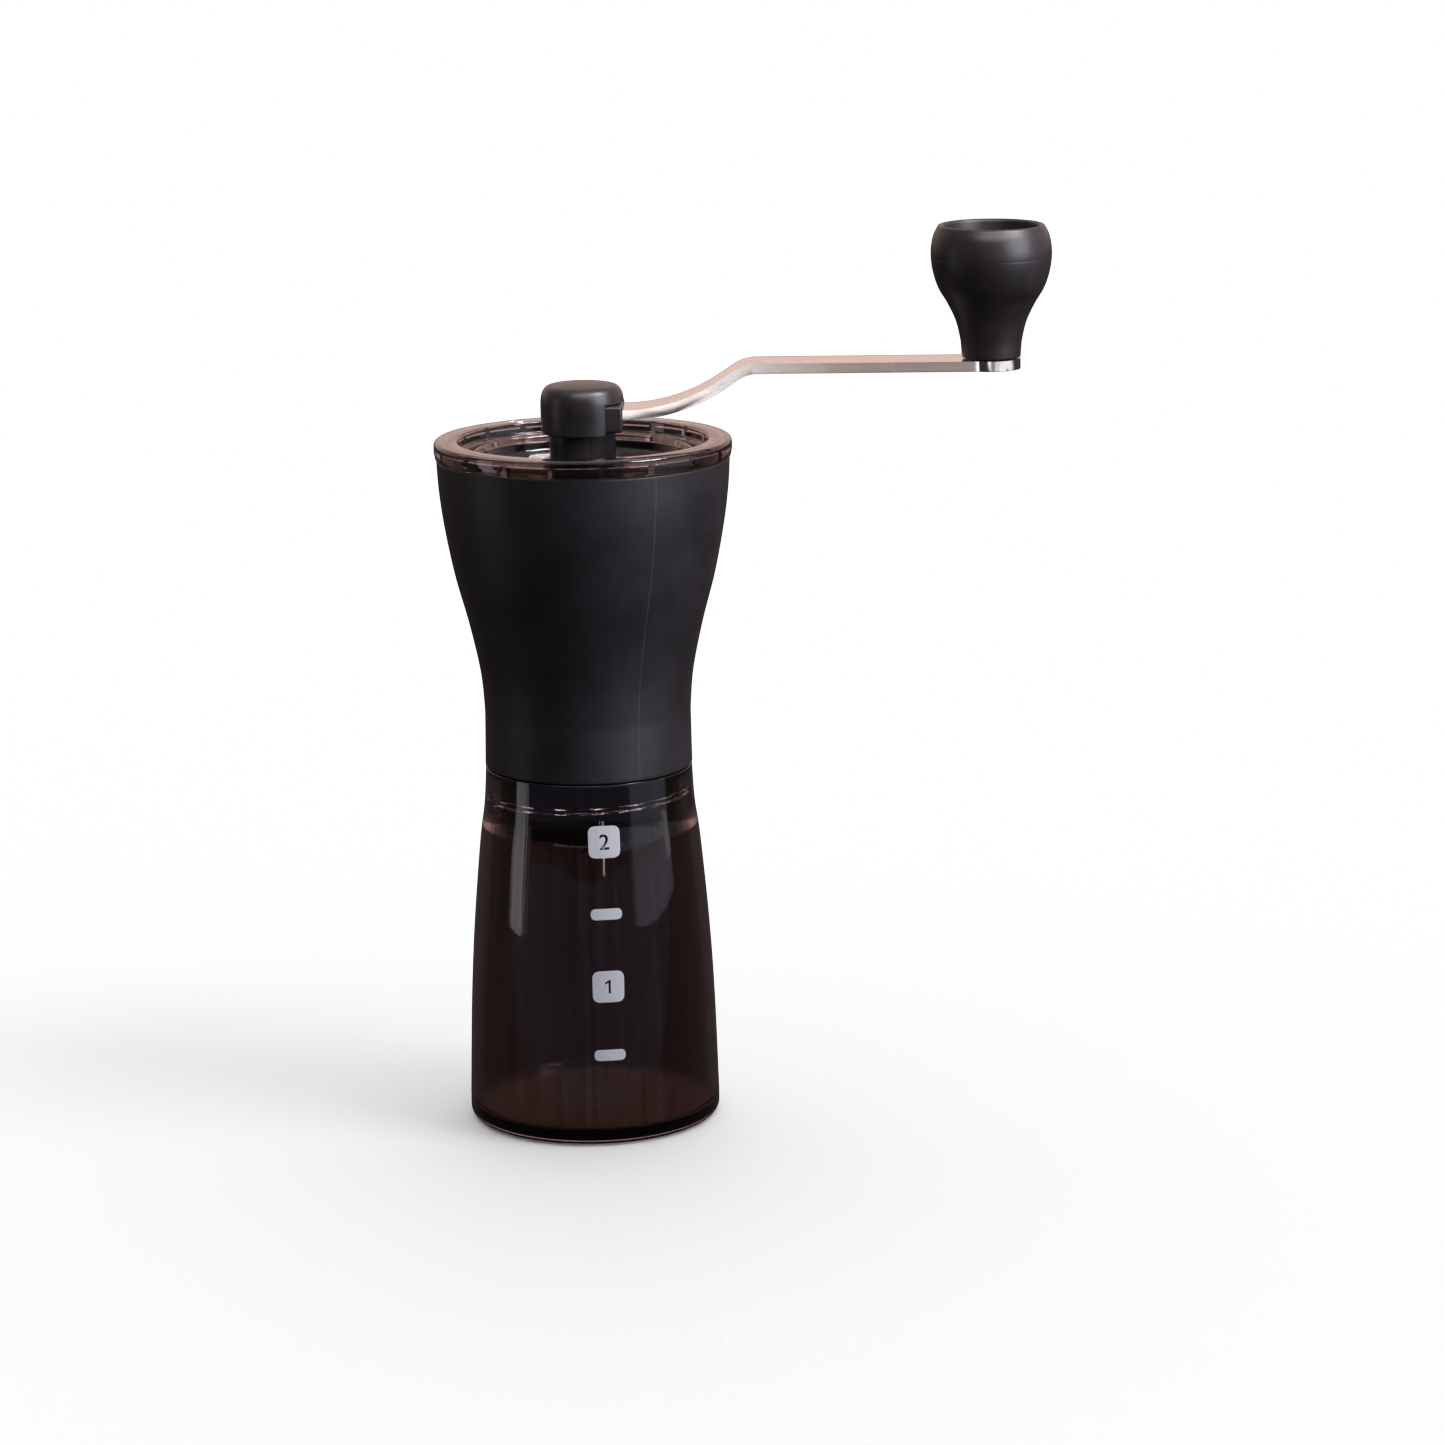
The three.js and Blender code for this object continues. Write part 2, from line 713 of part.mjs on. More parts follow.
function hubBase() {
  const tongueBottom = hubCapBottom + hubTongueRaise;
  const tongue = block(
    0, hubCapRadius - 0.1, -hubTongueHalfWidth, hubTongueHalfWidth,
    tongueBottom, hubTongueTop,
  );
  const window = block(
    -armWidth / 2 - 2 * gap, hubCapRadius + 1, -armWidth / 2 - gap, armWidth / 2 + gap,
    armBottom - gap, armTop + gap,
  );
  return solid(rod(hubNeckRadius, hubBottom, hubBaseTop, knobSides))
    .add(solid(tongue))
    .subtract(solid(window))
    .subtract(solid(rod(hexRadius + 2 * gap, hubBottom - 1, hubBaseTop + 1, 6)))
    .subtract(solid(rod(shaftRadius + gap, hubBottom - 1, shaftShoulderZ + gap, holeSides)));
}

function hubCap() {
  const outline = [
    [0, hubCapCeiling],
    [hubCavity, hubCapCeiling],
    [hubCavity, hubCapBottom],
    [hubCapRadius - 0.4, hubCapBottom],
    [hubCapRadius, hubCapBottom + 0.4],
    ...arc(hubCapRadius - hubCapCorner, hubCapTop - hubCapCrown - hubCapCorner, hubCapCorner, 0, 80, 5),
    [hubCapRadius / 3, hubCapTop - hubCapCrown / 4],
    [0, hubCapTop],
  ];
  const half = hubTongueHalfWidth + gap;
  const slot = block(0, hubCapRadius + 1, -half, half, hubCapBottom - 1, hubTongueTop + gap);
  return solid(revolved(outline, knobSides)).subtract(solid(slot));
}

// The arm seen from the side: level at the hub, up through two bends, level again out to the knob.
function armSide() {
  const half = armThickness / 2;
  const lowZ = armBottom + half;
  const highZ = lowZ + armRise;
  const turned = (armLowerBend + armUpperBend) * (1 - Math.cos(armBendAngle));
  const slope = (armRise - turned) / Math.sin(armBendAngle);
  const run = (armLowerBend + armUpperBend) * Math.sin(armBendAngle) + slope * Math.cos(armBendAngle);
  const bendStart = armBendEnd - run;
  const end = armReach + armEyeRadius + 1;
  const down = -Math.PI / 2;
  const up = Math.PI / 2;
  const side = new THREE.Shape();
  side.moveTo(-armWidth, armBottom);
  side.lineTo(bendStart, armBottom);
  side.absarc(bendStart, lowZ + armLowerBend, armLowerBend + half, down, down + armBendAngle, false);
  side.absarc(armBendEnd, highZ - armUpperBend, armUpperBend - half, up + armBendAngle, up, true);
  side.lineTo(end, outerArmBottom);
  side.lineTo(end, outerArmTop);
  side.absarc(armBendEnd, highZ - armUpperBend, armUpperBend + half, up, up + armBendAngle, false);
  side.absarc(bendStart, lowZ + armLowerBend, armLowerBend - half, down + armBendAngle, down, true);
  side.lineTo(-armWidth, armTop);
  side.closePath();
  const depth = 2 * armEyeRadius + 2;
  const slab = new THREE.ExtrudeGeometry(side, { depth, bevelEnabled: false, curveSegments: 8 });
  return slab.rotateX(Math.PI / 2).translate(0, depth / 2, 0);
}

function crankArm() {
  const [low, high] = [armBottom - 2, outerArmTop + 2];
  const plan = solid(block(0, armReach, -armWidth / 2, armWidth / 2, low, high))
    .add(solid(rod(armWidth / 2, low, high)))
    .add(solid(rod(armEyeRadius, low, high, knobSides).translate(armReach, 0, 0)));
  return solid(armSide())
    .intersect(plan)
    .subtract(solid(rod(hexRadius + gap, low, armTop + 2, 6)))
    .subtract(solid(rod(axleRadius + gap, low, high, holeSides).translate(armReach, 0, 0)))
    .subtract(solid(rod(axleHeadRadius + gap, low, axleSeat + gap).translate(armReach, 0, 0)));
}

// Knob and its axle, all about the knob's own axis

function knobWasher() {
  const top = knobWasherBottom + knobWasherThickness;
  return solid(ring(axleRadius + gap, knobWasherRadius, knobWasherBottom, top));
}

function knobAxle() {
  const bore = knobScrewRadius + gap;
  const boreBottom = axleTop - knobScrewLength;
  return solid(revolved([
    [0, outerArmBottom],
    [axleHeadRadius - 0.3, outerArmBottom],
    [axleHeadRadius, outerArmBottom + 0.3],
    [axleHeadRadius, axleSeat],
    [axleRadius, axleSeat],
    [axleRadius, axleTop],
    [bore, axleTop],
    [bore, boreBottom],
    [0, boreBottom],
  ]));
}

function knobBush() {
  return solid(ring(axleRadius + gap, knobBushOuter, knobRecess, cupFloor));
}

function knobScrew() {
  const headBottom = axleTop + gap;
  const headTop = headBottom + knobScrewHeadHeight;
  const headRadius = axleRadius + knobScrewHeadWidth;
  const head = revolved([
    [0, axleTop - knobScrewLength + 2 * gap],
    [knobScrewRadius, axleTop - knobScrewLength + 2 * gap],
    [knobScrewRadius, headBottom],
    [headRadius, headBottom],
    [headRadius, headTop - 0.7],
    [headRadius - 0.7, headTop],
    [0, headTop],
  ]);
  const half = knobScrewSlot / 2;
  const arm = headRadius * 0.6;
  const cross = solid(block(-arm, arm, -half, half, headTop - 1, headTop + 1))
    .add(solid(block(-half, half, -arm, arm, headTop - 1, headTop + 1)));
  return solid(head).subtract(cross);
}

function knob() {
  const swell = knobRadius - knobFootRadius;
  const side = smooth([
    [0, 0.061], [0.045, 0.147], [0.19, 0.281], [0.46, 0.412], [0.76, 0.53], [0.945, 0.665], [1, 0.796],
    [0.93, 0.91], [0.815, 0.971],
  ].map(([r, z]) => [knobFootRadius + swell * r, knobBottom + knobHeight * z]), knobSideSteps);
  const lipRadius = side[side.length - 1][0];
  const lipInner = lipRadius - knobLipWall;
  const floorRadius = radiusAt(side, cupFloor) - knobCupFloorWall;
  const bore = knobBushOuter + gap;
  return solid(revolved([
    [bore, knobRecess],
    [knobRecessRadius, knobRecess],
    [knobRecessRadius, knobBottom],
    [knobFootRadius - 0.2, knobBottom],
    [knobFootRadius + 0.05, knobBottom + 0.5],
    ...side,
    [lipRadius - 0.6, knobTop],
    [lipInner, knobTop - 0.5],
    [lipInner - 0.4, knobTop - knobCupDepth * 0.35],
    [floorRadius + 1.2, cupFloor + 3],
    [floorRadius, cupFloor],
    [bore, cupFloor],
    [bore, knobRecess],
  ], knobSides));
}

// Finishes

const black = [0x1b191c, 0.62, 0];
const blackSatin = [0x232126, 0.45, 0];
const smoke = [0x3a2b29, 0.08, 0];
const steel = [0xc9c4c0, 0.28, 1];
const ceramic = [0xe9e6df, 0.5, 0];
const nylon = [0xdedbd2, 0.55, 0];
const rubber = [0x2c2b2d, 0.85, 0];

const grinder = new THREE.Group();

function addPiece(name, body, [color, roughness, metalness], x = 0) {
  const material = new THREE.MeshStandardMaterial({ color, roughness, metalness });
  const piece = new THREE.Mesh(geometryOf(body), material);
  piece.name = name;
  piece.position.x = x;
  grinder.add(piece);
}

addPiece('jar', jar(), smoke);
addPiece('jar_seal', jarSeal(), rubber);
addPiece('hopper', hopper(), black);
addPiece('shaft_bridge', shaftBridge(), blackSatin);
addPiece('upper_bush', bush(true), nylon);
addPiece('lower_bush', bush(false), nylon);
addPiece('outer_burr', outerBurr(), ceramic);
addPiece('burr_retainer', burrRetainer(), blackSatin);
for (let i = 0; i < coreScrewCount; i += 1) {
  addPiece(`core_screw_${i + 1}`, coreScrew((i * 2 * Math.PI) / coreScrewCount), steel);
}
addPiece('crank_shaft', crankShaft(), steel);
addPiece('thrust_washer', washer(thrustWasherBottom), steel);
addPiece('shaft_clip', shaftClip(), steel);
addPiece('spring_washer', washer(springWasherTop - washerThickness), steel);
addPiece('burr_spring', burrSpring(), steel);
addPiece('inner_burr', innerBurr(), ceramic);
addPiece('burr_carrier', burrCarrier(), blackSatin);
addPiece('adjusting_nut', adjustingNut(), blackSatin);
addPiece('lid', lid(), smoke);
addPiece('hub_base', hubBase(), blackSatin);
addPiece('hub_cap', hubCap(), blackSatin);
addPiece('crank_arm', crankArm(), steel);
addPiece('knob_axle', knobAxle(), steel, armReach);
addPiece('knob_washer', knobWasher(), nylon, armReach);
addPiece('knob_bush', knobBush(), nylon, armReach);
addPiece('knob_screw', knobScrew(), steel, armReach);
addPiece('knob', knob(), black, armReach);

export default grinder;
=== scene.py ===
import math

import bmesh
import bpy
from mathutils import Matrix, Vector


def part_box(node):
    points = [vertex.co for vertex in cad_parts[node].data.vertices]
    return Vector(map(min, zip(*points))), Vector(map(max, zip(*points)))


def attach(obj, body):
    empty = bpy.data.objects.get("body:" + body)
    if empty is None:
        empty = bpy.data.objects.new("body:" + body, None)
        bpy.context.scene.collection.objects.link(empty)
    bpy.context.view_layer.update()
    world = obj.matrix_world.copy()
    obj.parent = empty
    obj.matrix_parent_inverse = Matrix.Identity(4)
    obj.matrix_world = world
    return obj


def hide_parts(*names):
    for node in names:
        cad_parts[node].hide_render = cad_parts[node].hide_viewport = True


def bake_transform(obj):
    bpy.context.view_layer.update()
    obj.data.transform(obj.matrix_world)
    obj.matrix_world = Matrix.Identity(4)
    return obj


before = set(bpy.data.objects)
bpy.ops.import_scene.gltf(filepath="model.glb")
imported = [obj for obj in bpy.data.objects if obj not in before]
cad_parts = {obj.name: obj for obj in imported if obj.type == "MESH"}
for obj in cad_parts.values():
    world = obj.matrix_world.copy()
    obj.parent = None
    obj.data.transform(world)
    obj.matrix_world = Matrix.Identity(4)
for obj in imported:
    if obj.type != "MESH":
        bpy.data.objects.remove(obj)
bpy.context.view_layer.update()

# Outlines are worked out in millimetres, and every mesh is made in metres.
mm = 0.001
gap = 0.3  # between pieces that stand next to each other


def sizeOf(node):
    low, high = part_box(node)
    return low / mm, high / mm


_, jarHigh = sizeOf("jar")
sealLow, sealHigh = sizeOf("jar_seal")
hopperLow, hopperHigh = sizeOf("hopper")
bridgeLow, bridgeHigh = sizeOf("shaft_bridge")
upperBushLow, upperBushHigh = sizeOf("upper_bush")
outerBurrLow, outerBurrHigh = sizeOf("outer_burr")
innerBurrLow, innerBurrHigh = sizeOf("inner_burr")
carrierLow, carrierHigh = sizeOf("burr_carrier")
nutLow, nutHigh = sizeOf("adjusting_nut")
retainerLow, retainerHigh = sizeOf("burr_retainer")
screwLow, screwHigh = sizeOf("core_screw_1")
shaftLow, shaftHigh = sizeOf("crank_shaft")
thrustLow, thrustHigh = sizeOf("thrust_washer")
clipLow, clipHigh = sizeOf("shaft_clip")
springWasherLow, springWasherHigh = sizeOf("spring_washer")
springLow, springHigh = sizeOf("burr_spring")
lidLow, lidHigh = sizeOf("lid")
baseLow, baseHigh = sizeOf("hub_base")
capLow, capHigh = sizeOf("hub_cap")
armLow, armHigh = sizeOf("crank_arm")
axleLow, axleHigh = sizeOf("knob_axle")
knobWasherLow, knobWasherHigh = sizeOf("knob_washer")
knobScrewLow, knobScrewHigh = sizeOf("knob_screw")
knobBushLow, knobBushHigh = sizeOf("knob_bush")
knobLow, knobHigh = sizeOf("knob")

# Camera

cameraSpec = {
    "lens": 112.31,
    "place": (48.9, -1077.9, 340.0),
    "pitchDown": 12.62,
    "yaw": -0.85,
    "roll": -0.73,
}


def makeCamera(spec):
    pitch = math.radians(spec["pitchDown"])
    yaw = math.radians(spec["yaw"])
    roll = math.radians(spec["roll"])
    forward = Vector((math.sin(yaw) * math.cos(pitch), math.cos(yaw) * math.cos(pitch), -math.sin(pitch)))
    right = Vector((math.cos(yaw), -math.sin(yaw), 0))
    up = right.cross(forward)
    rolledRight = right * math.cos(roll) + up * math.sin(roll)
    rolledUp = up * math.cos(roll) - right * math.sin(roll)
    data = bpy.data.cameras.new("studioCamera")
    data.lens = spec["lens"]
    data.sensor_width = 36
    data.clip_start = 0.01
    data.clip_end = 20
    camera = bpy.data.objects.new("studioCamera", data)
    axes = Matrix((rolledRight, rolledUp, -forward)).transposed().to_4x4()
    camera.matrix_world = Matrix.Translation(Vector(spec["place"]) * mm) @ axes
    bpy.context.scene.collection.objects.link(camera)
    bpy.context.scene.camera = camera


makeCamera(cameraSpec)
bpy.context.scene.view_settings.view_transform = "Standard"
print("camera placed")

# Node graphs, for shaders and for geometry


class Wire:
    # an output socket that takes part in Python expressions
    def __init__(self, graph, socket):
        self.graph = graph
        self.socket = socket

    def math(self, operation, first, second=0.0):
        return self.graph.add("ShaderNodeMath", {"operation": operation}, {0: first, 1: second})

    def __add__(self, other):
        return self.math("ADD", self, other)

    def __radd__(self, other):
        return self.math("ADD", other, self)

    def __sub__(self, other):
        return self.math("SUBTRACT", self, other)

    def __rsub__(self, other):
        return self.math("SUBTRACT", other, self)

    def __mul__(self, other):
        return self.math("MULTIPLY", self, other)

    def __rmul__(self, other):
        return self.math("MULTIPLY", other, self)

    def __truediv__(self, other):
        return self.math("DIVIDE", self, other)

    def fade(self, low, high):
        values = {"Value": self, "From Min": low, "From Max": high}
        return self.graph.add("ShaderNodeMapRange", {"interpolation_type": "SMOOTHSTEP"}, values)


class Graph:
    def __init__(self, tree):
        self.tree = tree

    def add(self, kind, settings=None, values=None, output=0):
        node = self.tree.nodes.new(kind)
        for name, setting in (settings or {}).items():
            setattr(node, name, setting)
        for name, value in (values or {}).items():
            self.feed(node.inputs[name], value)
        return Wire(self, node.outputs[output])

    def feed(self, socket, value):
        if isinstance(value, Wire):
            self.tree.links.new(value.socket, socket)
        else:
            socket.default_value = value

    def blend(self, factor, first, second):
        # a colour from first to second, as factor goes from 0 to 1
        return self.add("ShaderNodeMix", {"data_type": "RGBA"}, {0: factor, 6: first, 7: second}, output=2)

    def split(self, vector):
        node = self.tree.nodes.new("ShaderNodeSeparateXYZ")
        self.feed(node.inputs[0], vector)
        return [Wire(self, socket) for socket in node.outputs]

    def noise(self, place, size, detail=2.0, roughness=0.5):
        values = {"Vector": place, "Scale": 1 / (size * mm), "Detail": detail, "Roughness": roughness}
        return self.add("ShaderNodeTexNoise", None, values)

    def stretched(self, place, share):
        return self.add("ShaderNodeVectorMath", {"operation": "MULTIPLY"}, {0: place, 1: share})


class Finish(Graph):
    # a material with one Principled shader
    def __init__(self, name):
        self.material = bpy.data.materials.new(name)
        self.material.use_nodes = True
        super().__init__(self.material.node_tree)
        self.shader = self.tree.nodes["Principled BSDF"]
        self.place = self.add("ShaderNodeTexCoord", output=3)

    def set(self, **values):
        for name, value in values.items():
            self.feed(self.shader.inputs[socketNames[name]], value)

    def relief(self, height, depth, strength=1.0):
        values = {"Height": height, "Distance": depth * mm, "Strength": strength}
        self.set(normal=self.add("ShaderNodeBump", None, values))

    def bearing(self):
        # the angle round Z, in radians
        x, y, _ = self.split(self.place)
        return x.math("ARCTAN2", y, x)


socketNames = {
    "colour": "Base Color",
    "roughness": "Roughness",
    "metallic": "Metallic",
    "ior": "IOR",
    "specular": "Specular IOR Level",
    "transmission": "Transmission Weight",
    "subsurface": "Subsurface Weight",
    "subsurfaceScale": "Subsurface Scale",
    "anisotropic": "Anisotropic",
    "normal": "Normal",
}


def colour(red, green, blue):
    return (red, green, blue, 1.0)


# Light and floor

crankBlacks = ["knobBlack", "hubBlack"]
blackFinishes = crankBlacks + ["hopperBlack"]
objectFinishes = blackFinishes + [
    "coreBlack", "jarResin", "lidResin", "armSteel", "shaftSteel", "fastenerSteel", "burrCeramic",
    "naturalNylon", "sealRubber", "scalePrint",
]
lightSpec = {
    "backWarm": colour(0.90, 0.66, 0.58),
    "rightCool": colour(0.36, 0.37, 0.44),
    "ceiling": colour(0.80, 0.78, 0.80),
    "shade": colour(0.022, 0.017, 0.018),
    "floor": colour(0.070, 0.060, 0.059),
    "floorRadius": 8000.0,
    "lamps": {
        # place, the point it faces, width, height, how bright its face looks, colour, materials it lights
        "keyHigh": ((680, -275, 1000), (0, 0, 120), 420, 420, 26.0, (1.0, 0.98, 0.98), objectFinishes),
        "keyFloor": ((680, -275, 1000), (0, 0, 120), 420, 420, 4.5, (1.0, 1.0, 1.0), ["floorPaper"]),
        "softRight": ((640, -420, 380), (0, 0, 140), 520, 420, 9.0, (0.91, 0.87, 1.0), blackFinishes),
        "windowRight": ((400, -150, 156), (0, 0, 156), 380, 300, 0.5, (0.78, 0.84, 1.0), objectFinishes),
        "stripRight": ((410, -14, 170), (0, 0, 170), 42, 280, 0.8, (0.88, 0.90, 1.0), ["jarResin"]),
        "windowLeft": ((-330, -88, 156), (0, 0, 156), 85, 300, 1.3, (0.95, 0.93, 1.0), objectFinishes),
        "slitFront": ((310, -1150, 100), (0, 0, 75), 26, 260, 9.0, (0.95, 0.96, 1.0), ["jarResin"]),
        "lipFront": ((0, -800, 700), (0, 0, 90), 1500, 500, 2.5, (1.0, 0.95, 0.92), ["jarResin"]),
        "poolFront": ((20, -560, 2), (20, -560, 100), 1600, 1000, 0.10, (0.45, 0.56, 1.0), ["jarResin"]),
        "topFront": ((160, -560, 900), (60, 0, 200), 900, 500, 6.0, (1.0, 0.93, 0.95), crankBlacks),
        "cardFront": ((-50, -860, 12), (20, 0, 180), 170, 160, 2.0, (1.0, 0.99, 0.98), ["armSteel"]),
        "cardArm": ((160, -860, 12), (98, 0, 186), 230, 160, 0.42, (1.0, 0.86, 0.80), ["armSteel"]),
        "cardRight": ((558, -386, 60), (98, 0, 187), 900, 160, 1.0, (1.0, 0.98, 0.97), ["armSteel"]),
    },
}


def makeWorld(spec):
    world = bpy.data.worlds.new("studioWorld")
    bpy.context.scene.world = world
    world.use_nodes = True
    world.node_tree.nodes.clear()
    graph = Graph(world.node_tree)
    direction = graph.add("ShaderNodeTexCoord", output=0)
    x, y, z = graph.split(direction)
    behind = y.fade(-0.25, 0.95)
    toRight = x.fade(0.05, 0.95)
    front = graph.blend(toRight, spec["shade"], spec["rightCool"])
    level = graph.blend(behind, front, spec["backWarm"])
    around = graph.blend(z.fade(0.45, 0.9), level, spec["ceiling"])
    seen = graph.add("ShaderNodeLightPath", output=0)
    shown = graph.blend(seen, around, colour(1, 1, 1))
    background = graph.add("ShaderNodeBackground", None, {"Color": shown, "Strength": 1.0})
    output = graph.tree.nodes.new("ShaderNodeOutputWorld")
    graph.feed(output.inputs["Surface"], background)


def makeLamps(spec):
    for name, (place, target, width, height, brightness, tint, _) in spec["lamps"].items():
        data = bpy.data.lights.new(name, "AREA")
        data.shape = "RECTANGLE"
        data.size = width * mm
        data.size_y = height * mm
        data.energy = brightness * math.pi * data.size * data.size_y
        data.color = tint
        lamp = bpy.data.objects.new(name, data)
        lamp.location = Vector(place) * mm
        lamp.visible_camera = False
        lamp.rotation_euler = (Vector(target) - Vector(place)).to_track_quat("-Z", "Y").to_euler()
        bpy.context.scene.collection.objects.link(lamp)


def aimLamps(spec):
    # lets a lamp light only the pieces that have one of its materials
    pieces = [piece for piece in bpy.context.scene.objects if piece.type == "MESH" and piece.data.materials]
    for name, lamp in spec["lamps"].items():
        lit = bpy.data.collections.new(name + "Lit")
        for piece in pieces:
            if piece.data.materials[0].name in lamp[-1]:
                lit.objects.link(piece)
        bpy.data.objects[name].light_linking.receiver_collection = lit


def makeFloor(spec):
    mesh = bpy.data.meshes.new("floor")
    shape = bmesh.new()
    bmesh.ops.create_circle(shape, cap_ends=True, segments=64, radius=spec["floorRadius"] * mm)
    shape.to_mesh(mesh)
    shape.free()
    floor = bpy.data.objects.new("floor", mesh)
    bpy.context.scene.collection.objects.link(floor)
    floor.is_shadow_catcher = True
    paper = Finish("floorPaper")
    paper.set(colour=spec["floor"], roughness=0.9, specular=0.1)
    mesh.materials.append(paper.material)


makeWorld(lightSpec)
makeLamps(lightSpec)
makeFloor(lightSpec)
print("light and floor made")

# Materials

mouldedSpec = {
    # sizes and depths in mm
    "hopperBlack": {
        "dark": colour(0.0065, 0.0055, 0.0070), "light": colour(0.0115, 0.0100, 0.0125), "mottle": 14.0,
        "roughness": 0.47, "spread": 0.10, "grain": 0.22, "grainDepth": 0.010,
    },
    "knobBlack": {
        "dark": colour(0.0070, 0.0055, 0.0060), "light": colour(0.0130, 0.0105, 0.0120), "mottle": 9.0,
        "roughness": 0.40, "spread": 0.10, "grain": 0.20, "grainDepth": 0.008,
    },
    "hubBlack": {
        "dark": colour(0.0070, 0.0060, 0.0065), "light": colour(0.0130, 0.0110, 0.0125), "mottle": 6.0,
        "roughness": 0.36, "spread": 0.10, "grain": 0.20, "grainDepth": 0.006,
    },
    "coreBlack": {
        "dark": colour(0.010, 0.009, 0.010), "light": colour(0.018, 0.017, 0.018), "mottle": 5.0,
        "roughness": 0.30, "spread": 0.10, "grain": 0.30, "grainDepth": 0.004,
    },
}
partingSpec = {"bearing": math.radians(-58.5), "width": 0.011, "pale": colour(0.040, 0.037, 0.043)}


def mouldedBlack(name, hasParting=False):
    spec = mouldedSpec[name]
    finish = Finish(name)
    grain = finish.noise(finish.place, spec["grain"], detail=3)
    mottle = finish.noise(finish.place, spec["mottle"], detail=4, roughness=0.6)
    handled = finish.noise(finish.place, spec["mottle"] / 6, detail=5, roughness=0.7)
    tone = finish.blend(mottle.fade(0.3, 0.7), spec["dark"], spec["light"])
    worn = mottle * 0.6 + handled * 0.4
    finish.set(roughness=(worn - 0.5) * (2 * spec["spread"]) + spec["roughness"], specular=0.40)
    height = grain
    if hasParting:
        offset = finish.bearing() - partingSpec["bearing"]
        line = 1 - offset.math("ABSOLUTE", offset).fade(0, partingSpec["width"])
        tone = finish.blend(line * handled, tone, partingSpec["pale"])
        height = grain + line * 0.5
    finish.set(colour=tone)
    finish.relief(height, spec["grainDepth"])
    return finish.material


resinSpec = {
    # the tint is what one wall lets through, haze is roughness where a hand has smeared it, depth in mm
    "jarResin": {"tint": (0.37, 0.285, 0.275), "haze": 0.05, "lineDepth": 0.045},
    "lidResin": {"tint": (0.40, 0.33, 0.33), "haze": 0.04, "lineDepth": 0.004},
}
# Lines drawn up the walls by the mould: radians of turn from one to the next, drift for each metre of
# height, and the share of the tint in the palest and the deepest of them. smear is in mm.
lineSpec = {"turn": 0.05, "drift": 12, "shares": (1.3, 0.7), "smear": 9.0}


def smokyResin(name):
    spec = resinSpec[name]
    finish = Finish(name)
    smear = finish.noise(finish.place, lineSpec["smear"], detail=5, roughness=0.65)
    _, _, z = finish.split(finish.place)
    around = finish.bearing() / lineSpec["turn"]
    along = z * lineSpec["drift"]
    place = finish.add("ShaderNodeCombineXYZ", None, {0: around, 1: along})
    lines = finish.add("ShaderNodeTexNoise", None, {"Vector": place, "Scale": 1.0, "Detail": 3.0})
    pale, deep = [colour(*[channel * share for channel in spec["tint"]]) for share in lineSpec["shares"]]
    finish.set(colour=finish.blend(lines.fade(0.3, 0.7), pale, deep))
    finish.set(ior=1.49, transmission=1.0, specular=0.45)
    finish.set(roughness=smear.fade(0.55, 0.85) * spec["haze"])
    finish.relief(lines, spec["lineDepth"])
    return finish.material


steelSpec = {
    # run: how far a brushed streak goes along X, Y and Z, in mm
    "armSteel": {"tint": (0.66, 0.62, 0.61), "roughness": 0.13, "spread": 0.08, "run": (9.0, 0.09, 0.09)},
    "shaftSteel": {"tint": (0.66, 0.64, 0.62), "roughness": 0.20, "spread": 0.12, "run": (3.0, 3.0, 0.07)},
    "fastenerSteel": {"tint": (0.70, 0.68, 0.66), "roughness": 0.18, "spread": 0.14, "run": (1.5, 1.5, 0.08)},
}
dullShare = 0.88
streakDepth = 0.0012


def satinSteel(name):
    spec = steelSpec[name]
    finish = Finish(name)
    along = finish.stretched(finish.place, [1 / (length * mm) for length in spec["run"]])
    streaks = finish.add("ShaderNodeTexNoise", None, {"Vector": along, "Scale": 1.0, "Detail": 4.0})
    clouds = finish.noise(finish.place, 7.0, detail=4)
    bright = colour(*spec["tint"])
    dull = colour(*[channel * dullShare for channel in spec["tint"]])
    finish.set(metallic=1.0, colour=finish.blend(clouds.fade(0.3, 0.75), bright, dull))
    finish.set(roughness=(streaks - 0.5) * (2 * spec["spread"]) + spec["roughness"], anisotropic=0.35)
    finish.relief(streaks, streakDepth)
    return finish.material


# the small finishes: pattern sizes and depths in mm
ceramicSpec = {
    "dark": colour(0.80, 0.77, 0.71), "light": colour(0.88, 0.86, 0.81), "speck": colour(0.50, 0.44, 0.38),
    "cloudSize": 6.0, "speckSize": 0.5, "roughness": 0.36, "depth": 0.02,
}
nylonSpec = {
    "dark": colour(0.70, 0.67, 0.60), "light": colour(0.80, 0.78, 0.72),
    "cloudSize": 2.5, "grain": 0.25, "roughness": 0.38, "depth": 0.006,
}
rubberSpec = {
    "dark": colour(0.016, 0.016, 0.018), "light": colour(0.036, 0.036, 0.040),
    "bloomSize": 3.0, "grain": 0.12, "roughness": 0.72, "depth": 0.008,
}
printSpec = {
    "dark": colour(0.64, 0.66, 0.74), "light": colour(0.72, 0.74, 0.80),
    "screen": 0.22, "roughness": 0.42, "depth": 0.006,
}


def unglazedCeramic(spec):
    finish = Finish("burrCeramic")
    speck = finish.noise(finish.place, spec["speckSize"], detail=4, roughness=0.7)
    cloud = finish.noise(finish.place, spec["cloudSize"], detail=3)
    body = finish.blend(cloud, spec["dark"], spec["light"])
    finish.set(colour=finish.blend(speck.fade(0.66, 0.8), body, spec["speck"]))
    finish.set(roughness=cloud * 0.2 + spec["roughness"], subsurface=0.08, subsurfaceScale=0.4 * mm)
    finish.relief(speck, spec["depth"])
    return finish.material


